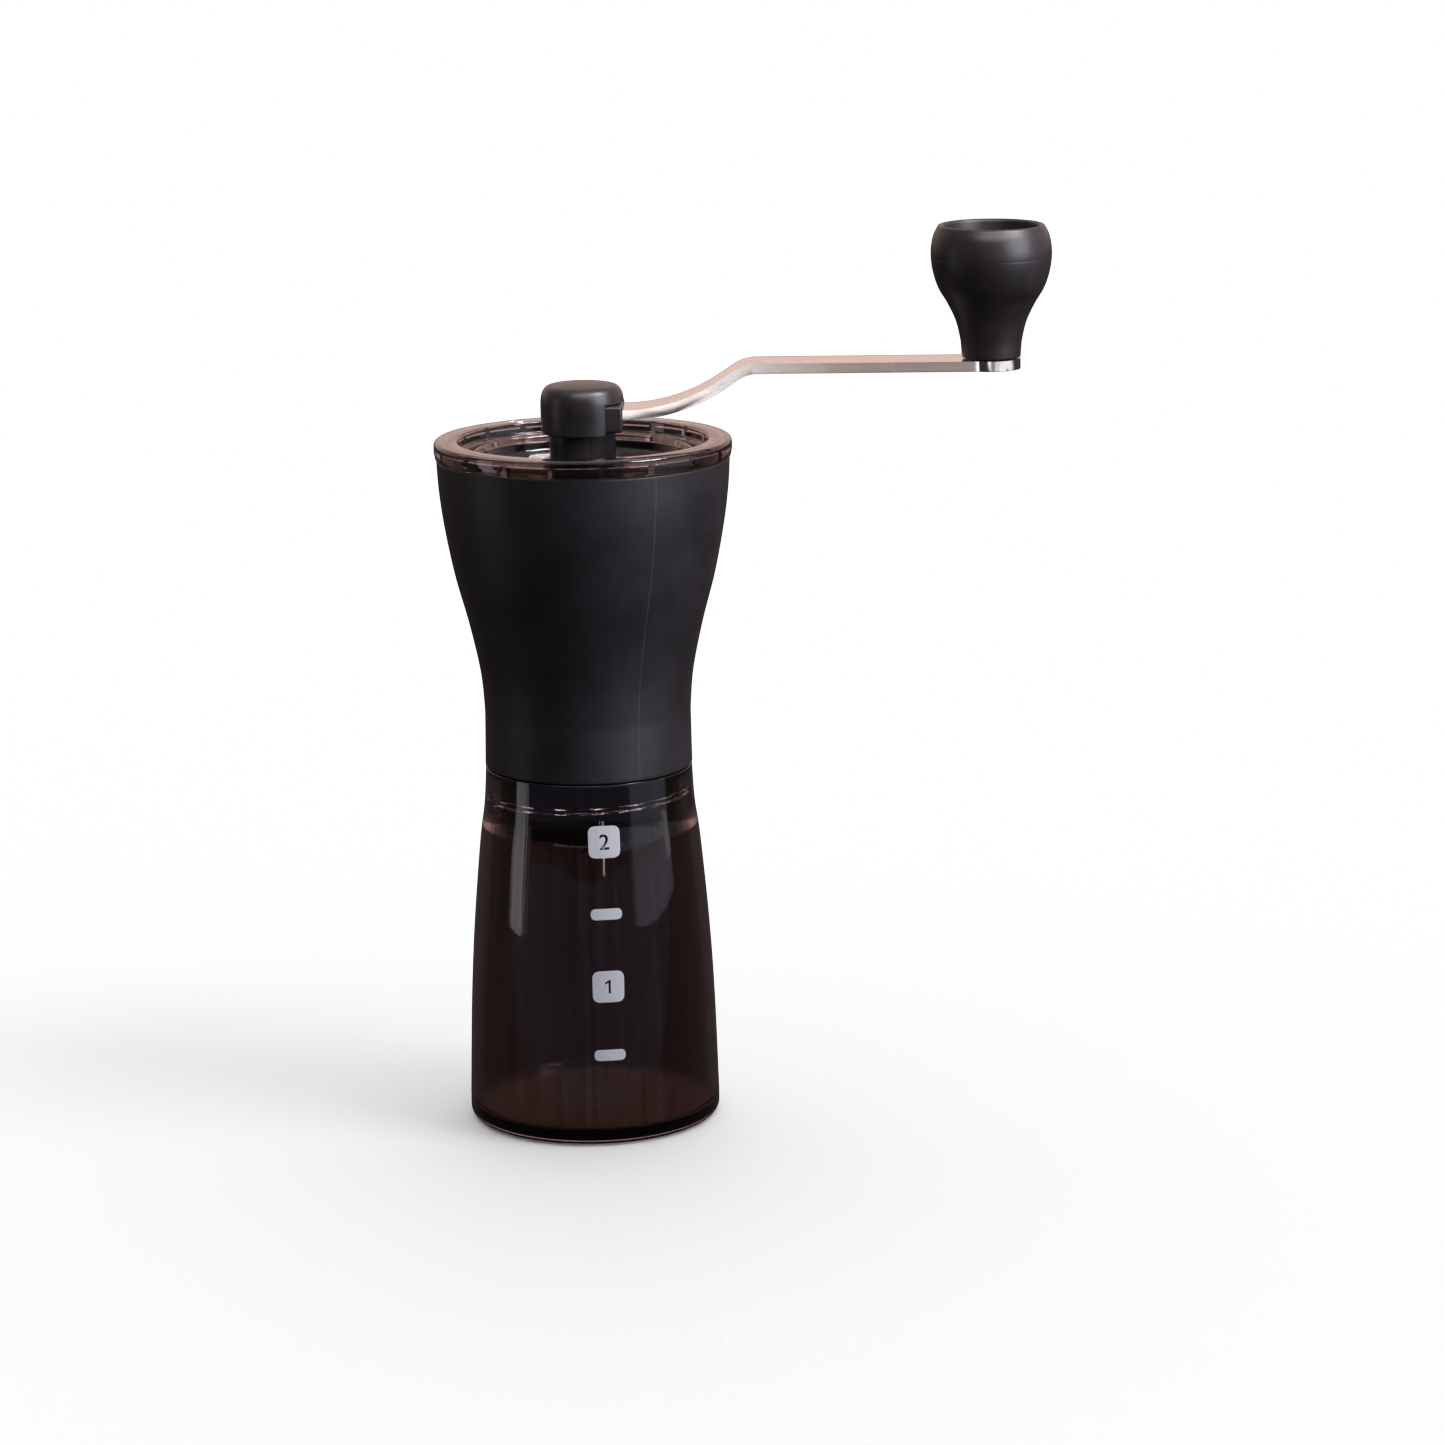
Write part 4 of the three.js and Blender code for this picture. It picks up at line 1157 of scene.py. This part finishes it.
def makeCoreScrews(spec):
    head = (screwHigh.x - screwLow.x) / 2
    seat = screwLow.z + spec["screwHead"]
    corners = [
        (0, screwLow.z),
        (head, screwLow.z, 0.5),
        (head, seat, 0.1),
        (spec["screwRadius"], seat),
        (spec["screwRadius"], screwHigh.z, 0.3),
        (0, screwHigh.z),
    ]
    screw = turned("screw_tool", rounded(corners), 48, centreX=screwPitch)
    reach, half = spec["crossReach"], spec["crossWidth"] / 2
    for x, y in ((reach, half), (half, reach)):
        slotLow = (screwPitch - x, -y, screwLow.z - 1)
        slotHigh = (screwPitch + x, y, screwLow.z + spec["crossDepth"])
        combined(screw, block("slot_tool", slotLow, slotHigh), "DIFFERENCE")
    piece = placed("core_screws", bmesh.new())
    spread(piece, screw, spec["screwCount"], "copies", finishes["fastener"])
    nodes = ["core_screw_" + str(i + 1) for i in range(spec["screwCount"])]
    return finished(piece, "hopper_body", nodes, finishes["fastener"])


makeBridge(coreSpec)
makeBush("upper_bush_sleeve", "upper_bush", bossTop + gap, 1)
makeBush("lower_bush_sleeve", "lower_bush", bridgeLow.z - gap, -1)
makeOuterBurr(fluteSpec)
makeInnerBurr(fluteSpec)
makeRetainer(coreSpec)
makeCoreScrews(coreSpec)
print("grinding core made")

# Shaft, clip, washers, spring, carrier and adjusting nut

shaftSpec = {
    "hexStep": 0.4,
    "threadStep": 0.7,
    "clipBite": 0.7,
    "clipOpening": 3.0,
    "clipEye": 0.45,
    "clipEyeAside": 0.95,
    "clipEyeInset": 1.3,
    "hubShoulder": 2.9,
    "endThreadGap": 0.9,
    "endChamfer": 0.4,
    "carrierFlange": 2.6,
    "nutNotches": 12,
    "notchRadius": 1.5,
    "notchOut": 0.5,
}
hexRadius = shaftRadius - shaftSpec["hexStep"]
threadedRadius = hexRadius - shaftSpec["threadStep"]
shaftShoulderZ = baseLow.z + shaftSpec["hubShoulder"]


def makeShaft(spec):
    grooveBottom = clipLow.z - gap
    grooveTop = clipHigh.z + gap
    grooveRadius = shaftRadius - spec["clipBite"]
    roundBottom = springHigh.z + gap + 0.05
    hexBottom = nutHigh.z + gap
    threadRoot = threadedRadius - nutThreadSpec["height"]
    corners = [
        (0, shaftLow.z),
        (threadRoot, shaftLow.z, 0.4),
        *column(threadRoot, shaftLow.z + 0.6, hexBottom - 0.2, 0.12),
        (threadedRadius, hexBottom),
        (threadedRadius, roundBottom),
        (shaftRadius, roundBottom, 0.3),
        (shaftRadius, grooveBottom, 0.1),
        (grooveRadius, grooveBottom),
        (grooveRadius, grooveTop),
        (shaftRadius, grooveTop, 0.1),
        (shaftRadius, shaftShoulderZ, 0.3),
        (threadedRadius, shaftShoulderZ),
        (threadedRadius, shaftHigh.z - spec["endChamfer"]),
        (0, shaftHigh.z - spec["endChamfer"]),
    ]

    def shaping(r, z, angle):
        onThread = abs(r - threadRoot) < 0.001 and z > shaftLow.z + 0.5
        startZ = shaftLow.z + spec["endThreadGap"]
        rise = threadRise(nutThreadSpec, startZ, z, angle) if onThread else 0.0
        return r + rise, z, angle

    piece = turned("crank_shaft_rod", rounded(corners), 72, shaping)
    for bottom, top in ((hexBottom, roundBottom + 1), (shaftShoulderZ - 1, shaftHigh.z)):
        hexagon = eased(rod("hex_tool", hexRadius, bottom, top, 6), 0.15, 2)
        combined(piece, hexagon, "UNION")
    return finished(piece, "shaft_body", ["crank_shaft"], finishes["shaft"])


def makeWasher(name, node, low, high):
    piece = ring(name, bushInner, high.x, low.z, high.z, 72, 0.12)
    return finished(piece, "shaft_body", [node], finishes["fastener"])


def makeClip(spec):
    inner = shaftRadius - spec["clipBite"] + gap
    piece = ring("shaft_clip_ring", inner, clipHigh.x, clipLow.z, clipHigh.z, 72, 0.1)
    half = spec["clipOpening"] / 2
    mouth = block("mouth_tool", (-half, 0, clipLow.z - 1), (half, clipHigh.x + 1, clipHigh.z + 1))
    combined(piece, mouth, "DIFFERENCE")
    for side in (-1, 1):
        eye = rod("eye_tool", spec["clipEye"], clipLow.z - 1, clipHigh.z + 1, 24)
        place = (side * (half + spec["clipEyeAside"]), clipHigh.x - spec["clipEyeInset"], 0)
        eye.data.transform(Matrix.Translation(Vector(place) * mm))
        combined(piece, eye, "DIFFERENCE")
    return finished(piece, "shaft_body", ["shaft_clip"], finishes["fastener"])


def springTree():
    numbers = ("Turns", "Coil Radius", "Wire Radius", "Bottom", "Height")
    inputs = [("Geometry", "Geometry"), *[(label, "Float") for label in numbers], ("Material", "Material")]
    graph, given = geometryTree("coil spring", inputs)
    values = {"Resolution": 40, "Rotations": given["Turns"], "Start Radius": given["Coil Radius"],
              "End Radius": given["Coil Radius"], "Height": given["Height"]}
    path = graph.add("GeometryNodeCurveSpiral", None, values)
    values = {"Resolution": 16, "Radius": given["Wire Radius"]}
    section = graph.add("GeometryNodeCurvePrimitiveCircle", None, values)
    values = {"Curve": path, "Profile Curve": section, "Fill Caps": True}
    wire = graph.add("GeometryNodeCurveToMesh", None, values)
    lift = graph.add("ShaderNodeCombineXYZ", None, {"Z": given["Bottom"]})
    raised = graph.add("GeometryNodeTransform", None, {"Geometry": wire, "Translation": lift})
    return closeTree(graph, raised, given["Material"])


springSpec = {"wire": 1.0, "turns": 3.0, "coilRadius": 4.8}


def makeSpring(spec):
    wire = spec["wire"] / 2
    values = {"Turns": spec["turns"], "Coil Radius": spec["coilRadius"] * mm, "Wire Radius": wire * mm,
              "Bottom": (springLow.z + wire) * mm, "Height": (springHigh.z - springLow.z - 2 * wire) * mm,
              "Material": finishes["fastener"]}
    piece = withTree(placed("burr_spring_coil", bmesh.new()), springTree(), values)
    mesh = piece.data
    mesh.materials.clear()
    mesh.materials.append(finishes["fastener"])
    mesh.shade_smooth()
    mesh.set_sharp_from_angle(angle=math.radians(50))
    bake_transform(piece)
    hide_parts("burr_spring")
    return piece


def makeCarrier(spec):
    bottom, top = carrierLow.z, carrierHigh.z
    flange = carrierHigh.x
    barrel = fluteSpec["innerBore"] - gap
    flangeTop = bottom + spec["carrierFlange"]
    corners = [(0, bottom), (flange, bottom, 0.6), (flange, flangeTop, 0.2), (barrel, flangeTop, 0.1),
               (barrel, top, 0.4), (0, top)]
    piece = turned("burr_carrier_core", rounded(corners), 96)
    bore = rod("bore_tool", hexRadius + 2 * gap, bottom - 1, top + 1, 6)
    combined(piece, bore, "DIFFERENCE")
    return finished(piece, "burr_body", ["burr_carrier"], finishes["core"])


def makeNut(spec):
    bottom, top = nutLow.z, nutHigh.z
    radius = nutHigh.x
    corners = [(0, bottom), (radius, bottom, 1.4), (radius, top, 0.3), (0, top)]
    piece = turned("adjusting_nut_wheel", rounded(corners), 144)
    notch = rod("notch_tool", spec["notchRadius"], bottom - 1, top + 1, 32, radius + spec["notchOut"])
    spread(piece, notch, spec["nutNotches"], "DIFFERENCE", finishes["core"])
    bore = rod("bore_tool", threadedRadius + gap, bottom - 1, top + 1, 48)
    combined(piece, bore, "DIFFERENCE")
    return finished(piece, "nut_body", ["adjusting_nut"], finishes["core"])


makeShaft(shaftSpec)
makeWasher("thrust_washer_ring", "thrust_washer", thrustLow, thrustHigh)
makeWasher("spring_washer_ring", "spring_washer", springWasherLow, springWasherHigh)
makeClip(shaftSpec)
makeSpring(springSpec)
makeCarrier(shaftSpec)
makeNut(shaftSpec)
print("shaft, spring, carrier and nut made")

# Lid

lidSpec = {
    "sides": 180,
    "bandHeight": 4.2,
    "bandWall": 1.6,
    "rimWidth": 5.6,
    "web": 1.8,
    "skirtWall": 1.9,
    "stepDepth": 2.8,
    "stepWidth": 4.6,
    "dishDepth": 6.8,
    "dishWall": 1.8,
    "collarHeight": 1.5,
    "collarWall": 1.6,
    "hubGap": 0.6,
    "ribs": 18,
    "ribThickness": 1.8,
}


def makeLid(spec):
    rim = lidHigh.x
    top = lidHigh.z
    bandBottom = top - spec["bandHeight"]
    bandInner = rim - spec["bandWall"]
    innerRim = rim - spec["rimWidth"]
    skirtOuter = hopperHigh.x - hopperSpec["wall"] - 1.5 * gap
    skirtInner = skirtOuter - spec["skirtWall"]
    stepZ = top - spec["stepDepth"]
    dishZ = top - spec["dishDepth"]
    dishRadius = innerRim - spec["stepWidth"]
    underStep = stepZ - spec["web"]
    underDish = dishZ - spec["dishWall"]
    underTop = top - spec["web"]
    opening = baseHigh.y + spec["hubGap"]
    collar = opening + spec["collarWall"]
    corners = [
        (bandInner, bandBottom, 0.2),
        (rim - 0.3, bandBottom, 0.3),
        (rim, bandBottom + spec["bandHeight"] * 0.4, 2.0),
        (rim, top, 1.1),
        (innerRim, top, 0.7),
        (innerRim - 0.3, stepZ, 0.5),
        (dishRadius, stepZ, 0.7),
        (dishRadius - 1.2, dishZ, 1.3),
        (collar, dishZ, 0.4),
        (collar, dishZ + spec["collarHeight"], 0.4),
        (opening, dishZ + spec["collarHeight"], 0.4),
        (opening, underDish, 0.3),
        (dishRadius - 0.2, underDish, 1.0),
        (dishRadius + 1.2, underStep, 0.6),
        (skirtInner, underStep, 0.5),
        (skirtInner, lidLow.z, 0.4),
        (skirtOuter, lidLow.z, 0.4),
        (skirtOuter, underTop, 0.3),
        (bandInner, underTop, 0.3),
    ]
    piece = turned("lid_dish", rounded(corners, closed=True), spec["sides"])
    half = spec["ribThickness"] / 2
    rib = block("rib_tool", (skirtOuter - 0.5, -half, bandBottom + 0.05), (bandInner + 0.5, half, top - 1))
    spread(piece, rib, spec["ribs"], "UNION", finishes["lid"])
    return finished(piece, "lid_body", ["lid"], finishes["lid"])


makeLid(lidSpec)
print("lid made")

# Crank hub

hubSpec = {
    "sides": 128,
    "capWall": 1.7,
    "roof": 3.7,
    "capCorner": 4.8,
    "crown": 0.9,
    "tongueInset": 0.2,
    "tongueRaise": 0.8,
    "tongueRoof": 0.8,
    "tongueCorner": 0.7,
}
armThickness = 2.4
armHalfWidth = -armLow.x
capRadius = capHigh.y
tongueTop = armLow.z + armThickness + gap + hubSpec["tongueRoof"]


def makeHubBase(spec):
    neck = baseHigh.y
    bottom, top = baseLow.z, baseHigh.z
    corners = [(0, bottom), (neck, bottom, 0.5), (neck, top, 0.2), (0, top)]
    piece = turned("hub_base_body", rounded(corners), spec["sides"])
    half = neck - spec["tongueInset"]
    tongueLow = (-1, -half, capLow.z + spec["tongueRaise"])
    tongue = eased(block("tongue_tool", tongueLow, (baseHigh.x, half, tongueTop)), spec["tongueCorner"], 5)
    combined(piece, tongue, "UNION")
    wide = armHalfWidth + gap
    low = (-armHalfWidth - 2 * gap, -wide, armLow.z - gap)
    window = block("window_tool", low, (capRadius + 1, wide, armLow.z + armThickness + gap))
    combined(piece, window, "DIFFERENCE")
    combined(piece, rod("hex_tool", hexRadius + 2 * gap, bottom - 1, top + 1, 6), "DIFFERENCE")
    combined(piece, rod("bore_tool", shaftRadius + gap, bottom - 1, shaftShoulderZ + gap, 64), "DIFFERENCE")
    eased(piece, 0.25, 2)
    return finished(piece, "crank_body", ["hub_base"], finishes["hub"])


def makeHubCap(spec):
    cavity = capRadius - spec["capWall"]
    bottom, top = capLow.z, capHigh.z
    ceiling = top - spec["roof"]
    crownZ = top - spec["crown"]
    dome = [(capRadius * share, top - spec["crown"] * share ** 2) for share in (0.5, 0.4, 0.3, 0.2, 0.1)]
    corners = [
        (0, ceiling),
        (cavity, ceiling, 0.5),
        (cavity, bottom, 0.3),
        (capRadius, bottom, 0.5),
        (capRadius, crownZ, spec["capCorner"]),
        *dome,
        (0, top),
    ]
    piece = turned("hub_cap_dome", rounded(corners, steps=10), spec["sides"])
    half = baseHigh.y - spec["tongueInset"] + gap
    slotTool = block("slot_tool", (0.05, -half, bottom - 1), (capRadius + 1, half, tongueTop + gap))
    combined(piece, slotTool, "DIFFERENCE")
    eased(piece, 0.22, 2, limit=50)
    return finished(piece, "crank_body", ["hub_cap"], finishes["hub"])


# Crank arm

armSpec = {
    "bendEnd": 42.2,
    "bendAngle": math.radians(34),
    "lowerBend": 43.0,
    "upperBend": 9.0,
    "bendSteps": 20,
    "eyeFillet": 9.0,
    "edge": 0.35,
}


def bend(centreX, centreZ, radius, start, end, steps):
    angles = [start + (end - start) * i / steps for i in range(steps + 1)]
    return [(centreX + radius * math.cos(a), centreZ + radius * math.sin(a)) for a in angles]


def makeArm(spec):
    half = armThickness / 2
    lowZ = armLow.z + half
    highZ = armHigh.z - half
    angle = spec["bendAngle"]
    lower, upper, steps = spec["lowerBend"], spec["upperBend"], spec["bendSteps"]
    slope = (highZ - lowZ - (lower + upper) * (1 - math.cos(angle))) / math.sin(angle)
    bendStart = spec["bendEnd"] - (lower + upper) * math.sin(angle) - slope * math.cos(angle)
    down, up = -math.pi / 2, math.pi / 2
    end = armHigh.x + 1
    low, high = (bendStart, lowZ + lower), (spec["bendEnd"], highZ - upper)
    side = [
        (armLow.x - 1, lowZ - half),
        *bend(*low, lower + half, down, down + angle, steps),
        *bend(*high, upper - half, up + angle, up, steps),
        (end, highZ - half),
        (end, highZ + half),
        *bend(*high, upper + half, up, up + angle, steps),
        *bend(*low, lower - half, down + angle, down, steps),
        (armLow.x - 1, lowZ + half),
    ]
    eye = armHigh.y
    piece = slab("crank_arm_strip", side, lambda a, b, c: (a, c, b), -eye - 1, eye + 1)
    reach = armHigh.x - eye
    meet = reach - math.sqrt(eye ** 2 - armHalfWidth ** 2)
    start = math.atan2(-armHalfWidth, meet - reach)
    eyeArc = bend(reach, 0, eye, start + 0.12, -start - 0.12, 64)
    plan = rounded([
        *bend(0, 0, armHalfWidth, math.pi / 2, 3 * math.pi / 2, 40),
        (meet, -armHalfWidth, spec["eyeFillet"]),
        *eyeArc,
        (meet, armHalfWidth, spec["eyeFillet"]),
    ], closed=True, steps=6)
    outline = slab("plan_tool", plan, lambda a, b, c: (a, b, c), armLow.z - 2, armHigh.z + 2)
    combined(piece, outline, "INTERSECT")
    combined(piece, rod("hex_tool", hexRadius + gap, armLow.z - 1, armLow.z + 5, 6), "DIFFERENCE")
    axleHole = rod("hole_tool", axleRadius + gap, armHigh.z - 5, armHigh.z + 1, 64, reach)
    combined(piece, axleHole, "DIFFERENCE")
    headRadius = (axleHigh.x - axleLow.x) / 2
    headTop = axleLow.z + knobSpec["axleHeadHeight"]
    sink = rod("sink_tool", headRadius + gap, armHigh.z - 5, headTop + gap, 64, reach)
    combined(piece, sink, "DIFFERENCE")
    eased(piece, spec["edge"], 3, limit=50)
    return finished(piece, "crank_body", ["crank_arm"], finishes["arm"])


# Knob and its axle

knobSpec = {
    "sides": 128,
    "lipWall": 1.5,
    "cupDepth": 15.6,
    "cupFloorWall": 3.3,
    "footWall": 1.2,
    "partingRise": 24.3,
    "partingHalf": 0.14,
    "partingDepth": 0.025,
    "bushWall": 0.9,
    "axleHeadHeight": 1.1,
    "screwRadius": 1.5,
    "screwLength": 8.0,
    "screwHeadHeight": 2.0,
    "crossWidth": 1.0,
}
reachX = (knobLow.x + knobHigh.x) / 2
knobRadius = (knobHigh.x - knobLow.x) / 2
knobBushOuter = (knobBushHigh.x - knobBushLow.x) / 2
axleRadius = knobBushOuter - knobSpec["bushWall"] - gap
knobWasherRadius = (knobWasherHigh.x - knobWasherLow.x) / 2
knobFootRadius = knobWasherRadius + gap + knobSpec["footWall"]
cupFloor = knobHigh.z - knobSpec["cupDepth"]


def knobSide():
    # swell out from the foot and height above it, both as shares
    shares = [
        (0, 0.061), (0.045, 0.147), (0.19, 0.281), (0.46, 0.412), (0.76, 0.53), (0.945, 0.665), (1, 0.796),
        (0.93, 0.91), (0.815, 0.971),
    ]
    tall = knobHigh.z - knobLow.z
    swell = knobRadius - knobFootRadius
    return curved([(knobFootRadius + swell * out, knobLow.z + tall * up) for out, up in shares], 7)


def makeKnob(spec):
    side = knobSide()
    lip = side[-1][0]
    bore = knobBushOuter + gap
    floorRadius = radiusAt(side, cupFloor) - spec["cupFloorWall"]
    parting = knobLow.z + spec["partingRise"]
    recess = knobBushLow.z
    half = spec["partingHalf"]
    wall = [point for point in side if abs(point[1] - parting) > 2 * half]
    line = [(radiusAt(side, parting + dz) - depth, parting + dz)
            for dz, depth in ((-half, 0), (0, spec["partingDepth"]), (half, 0))]
    below = [point for point in wall if point[1] < parting]
    above = [point for point in wall if point[1] > parting]
    corners = [
        (bore, recess, 0.2),
        (knobWasherRadius + gap, recess, 0.1),
        (knobWasherRadius + gap, knobLow.z, 0.2),
        (knobFootRadius - 0.1, knobLow.z, 0.4),
        *below,
        *line,
        *above,
        (lip - 0.5, knobHigh.z, 0.8),
        (lip - spec["lipWall"], knobHigh.z - 0.15, 0.9),
        (lip - spec["lipWall"] - 0.4, knobHigh.z - spec["cupDepth"] * 0.35, 3.0),
        (floorRadius + 0.6, cupFloor + 3, 2.0),
        (floorRadius, cupFloor, 1.2),
        (bore, cupFloor, 0.3),
    ]
    outline = rounded(corners, closed=True)
    piece = turned("knob_shell", outline, spec["sides"], centreX=reachX)
    return finished(piece, "knob_body", ["knob"], finishes["knob"])


def makeKnobBush():
    inner = axleRadius + gap
    piece = ring("knob_bush_sleeve", inner, knobBushOuter, knobBushLow.z, knobBushHigh.z, 72, 0.2, reachX)
    return finished(piece, "knob_body", ["knob_bush"], finishes["nylon"])


def makeKnobWasher():
    inner = axleRadius + gap
    bottom, top = knobWasherLow.z, knobWasherHigh.z
    piece = ring("knob_washer_ring", inner, knobWasherRadius, bottom, top, 96, 0.15, reachX)
    return finished(piece, "crank_body", ["knob_washer"], finishes["nylon"])


def makeAxle(spec):
    head = (axleHigh.x - axleLow.x) / 2
    seat = axleLow.z + spec["axleHeadHeight"]
    bore = spec["screwRadius"] + gap
    boreBottom = axleHigh.z - spec["screwLength"]
    corners = [
        (0, axleLow.z),
        (head, axleLow.z, 0.6),
        (head, seat, 0.1),
        (axleRadius, seat),
        (axleRadius, axleHigh.z, 0.3),
        (bore, axleHigh.z, 0.2),
        (bore, boreBottom),
        (0, boreBottom),
    ]
    piece = turned("knob_axle_pin", rounded(corners), 72, centreX=reachX)
    return finished(piece, "crank_body", ["knob_axle"], finishes["shaft"])


def makeKnobScrew(spec):
    head = (knobScrewHigh.x - knobScrewLow.x) / 2
    headTop = knobScrewHigh.z
    headBottom = headTop - spec["screwHeadHeight"]
    corners = [
        (0, knobScrewLow.z),
        (spec["screwRadius"], knobScrewLow.z, 0.4),
        (spec["screwRadius"], headBottom),
        (head, headBottom, 0.2),
        (head, headTop - 0.1, 0.9),
        (head * 0.4, headTop),
        (0, headTop),
    ]
    piece = turned("knob_screw_head", rounded(corners), 72, centreX=reachX)
    half = spec["crossWidth"] / 2
    arm = head * 0.6
    for x, y in ((arm, half), (half, arm)):
        slotTool = block("slot_tool", (reachX - x, -y, headTop - 1), (reachX + x, y, headTop + 1))
        combined(piece, slotTool, "DIFFERENCE")
    eased(piece, 0.08, 2, limit=50)
    return finished(piece, "crank_body", ["knob_screw"], finishes["fastener"])


makeHubBase(hubSpec)
makeHubCap(hubSpec)
makeArm(armSpec)
makeKnob(knobSpec)
makeKnobBush()
makeKnobWasher()
makeAxle(knobSpec)
makeKnobScrew(knobSpec)
print("crank made")

aimLamps(lightSpec)
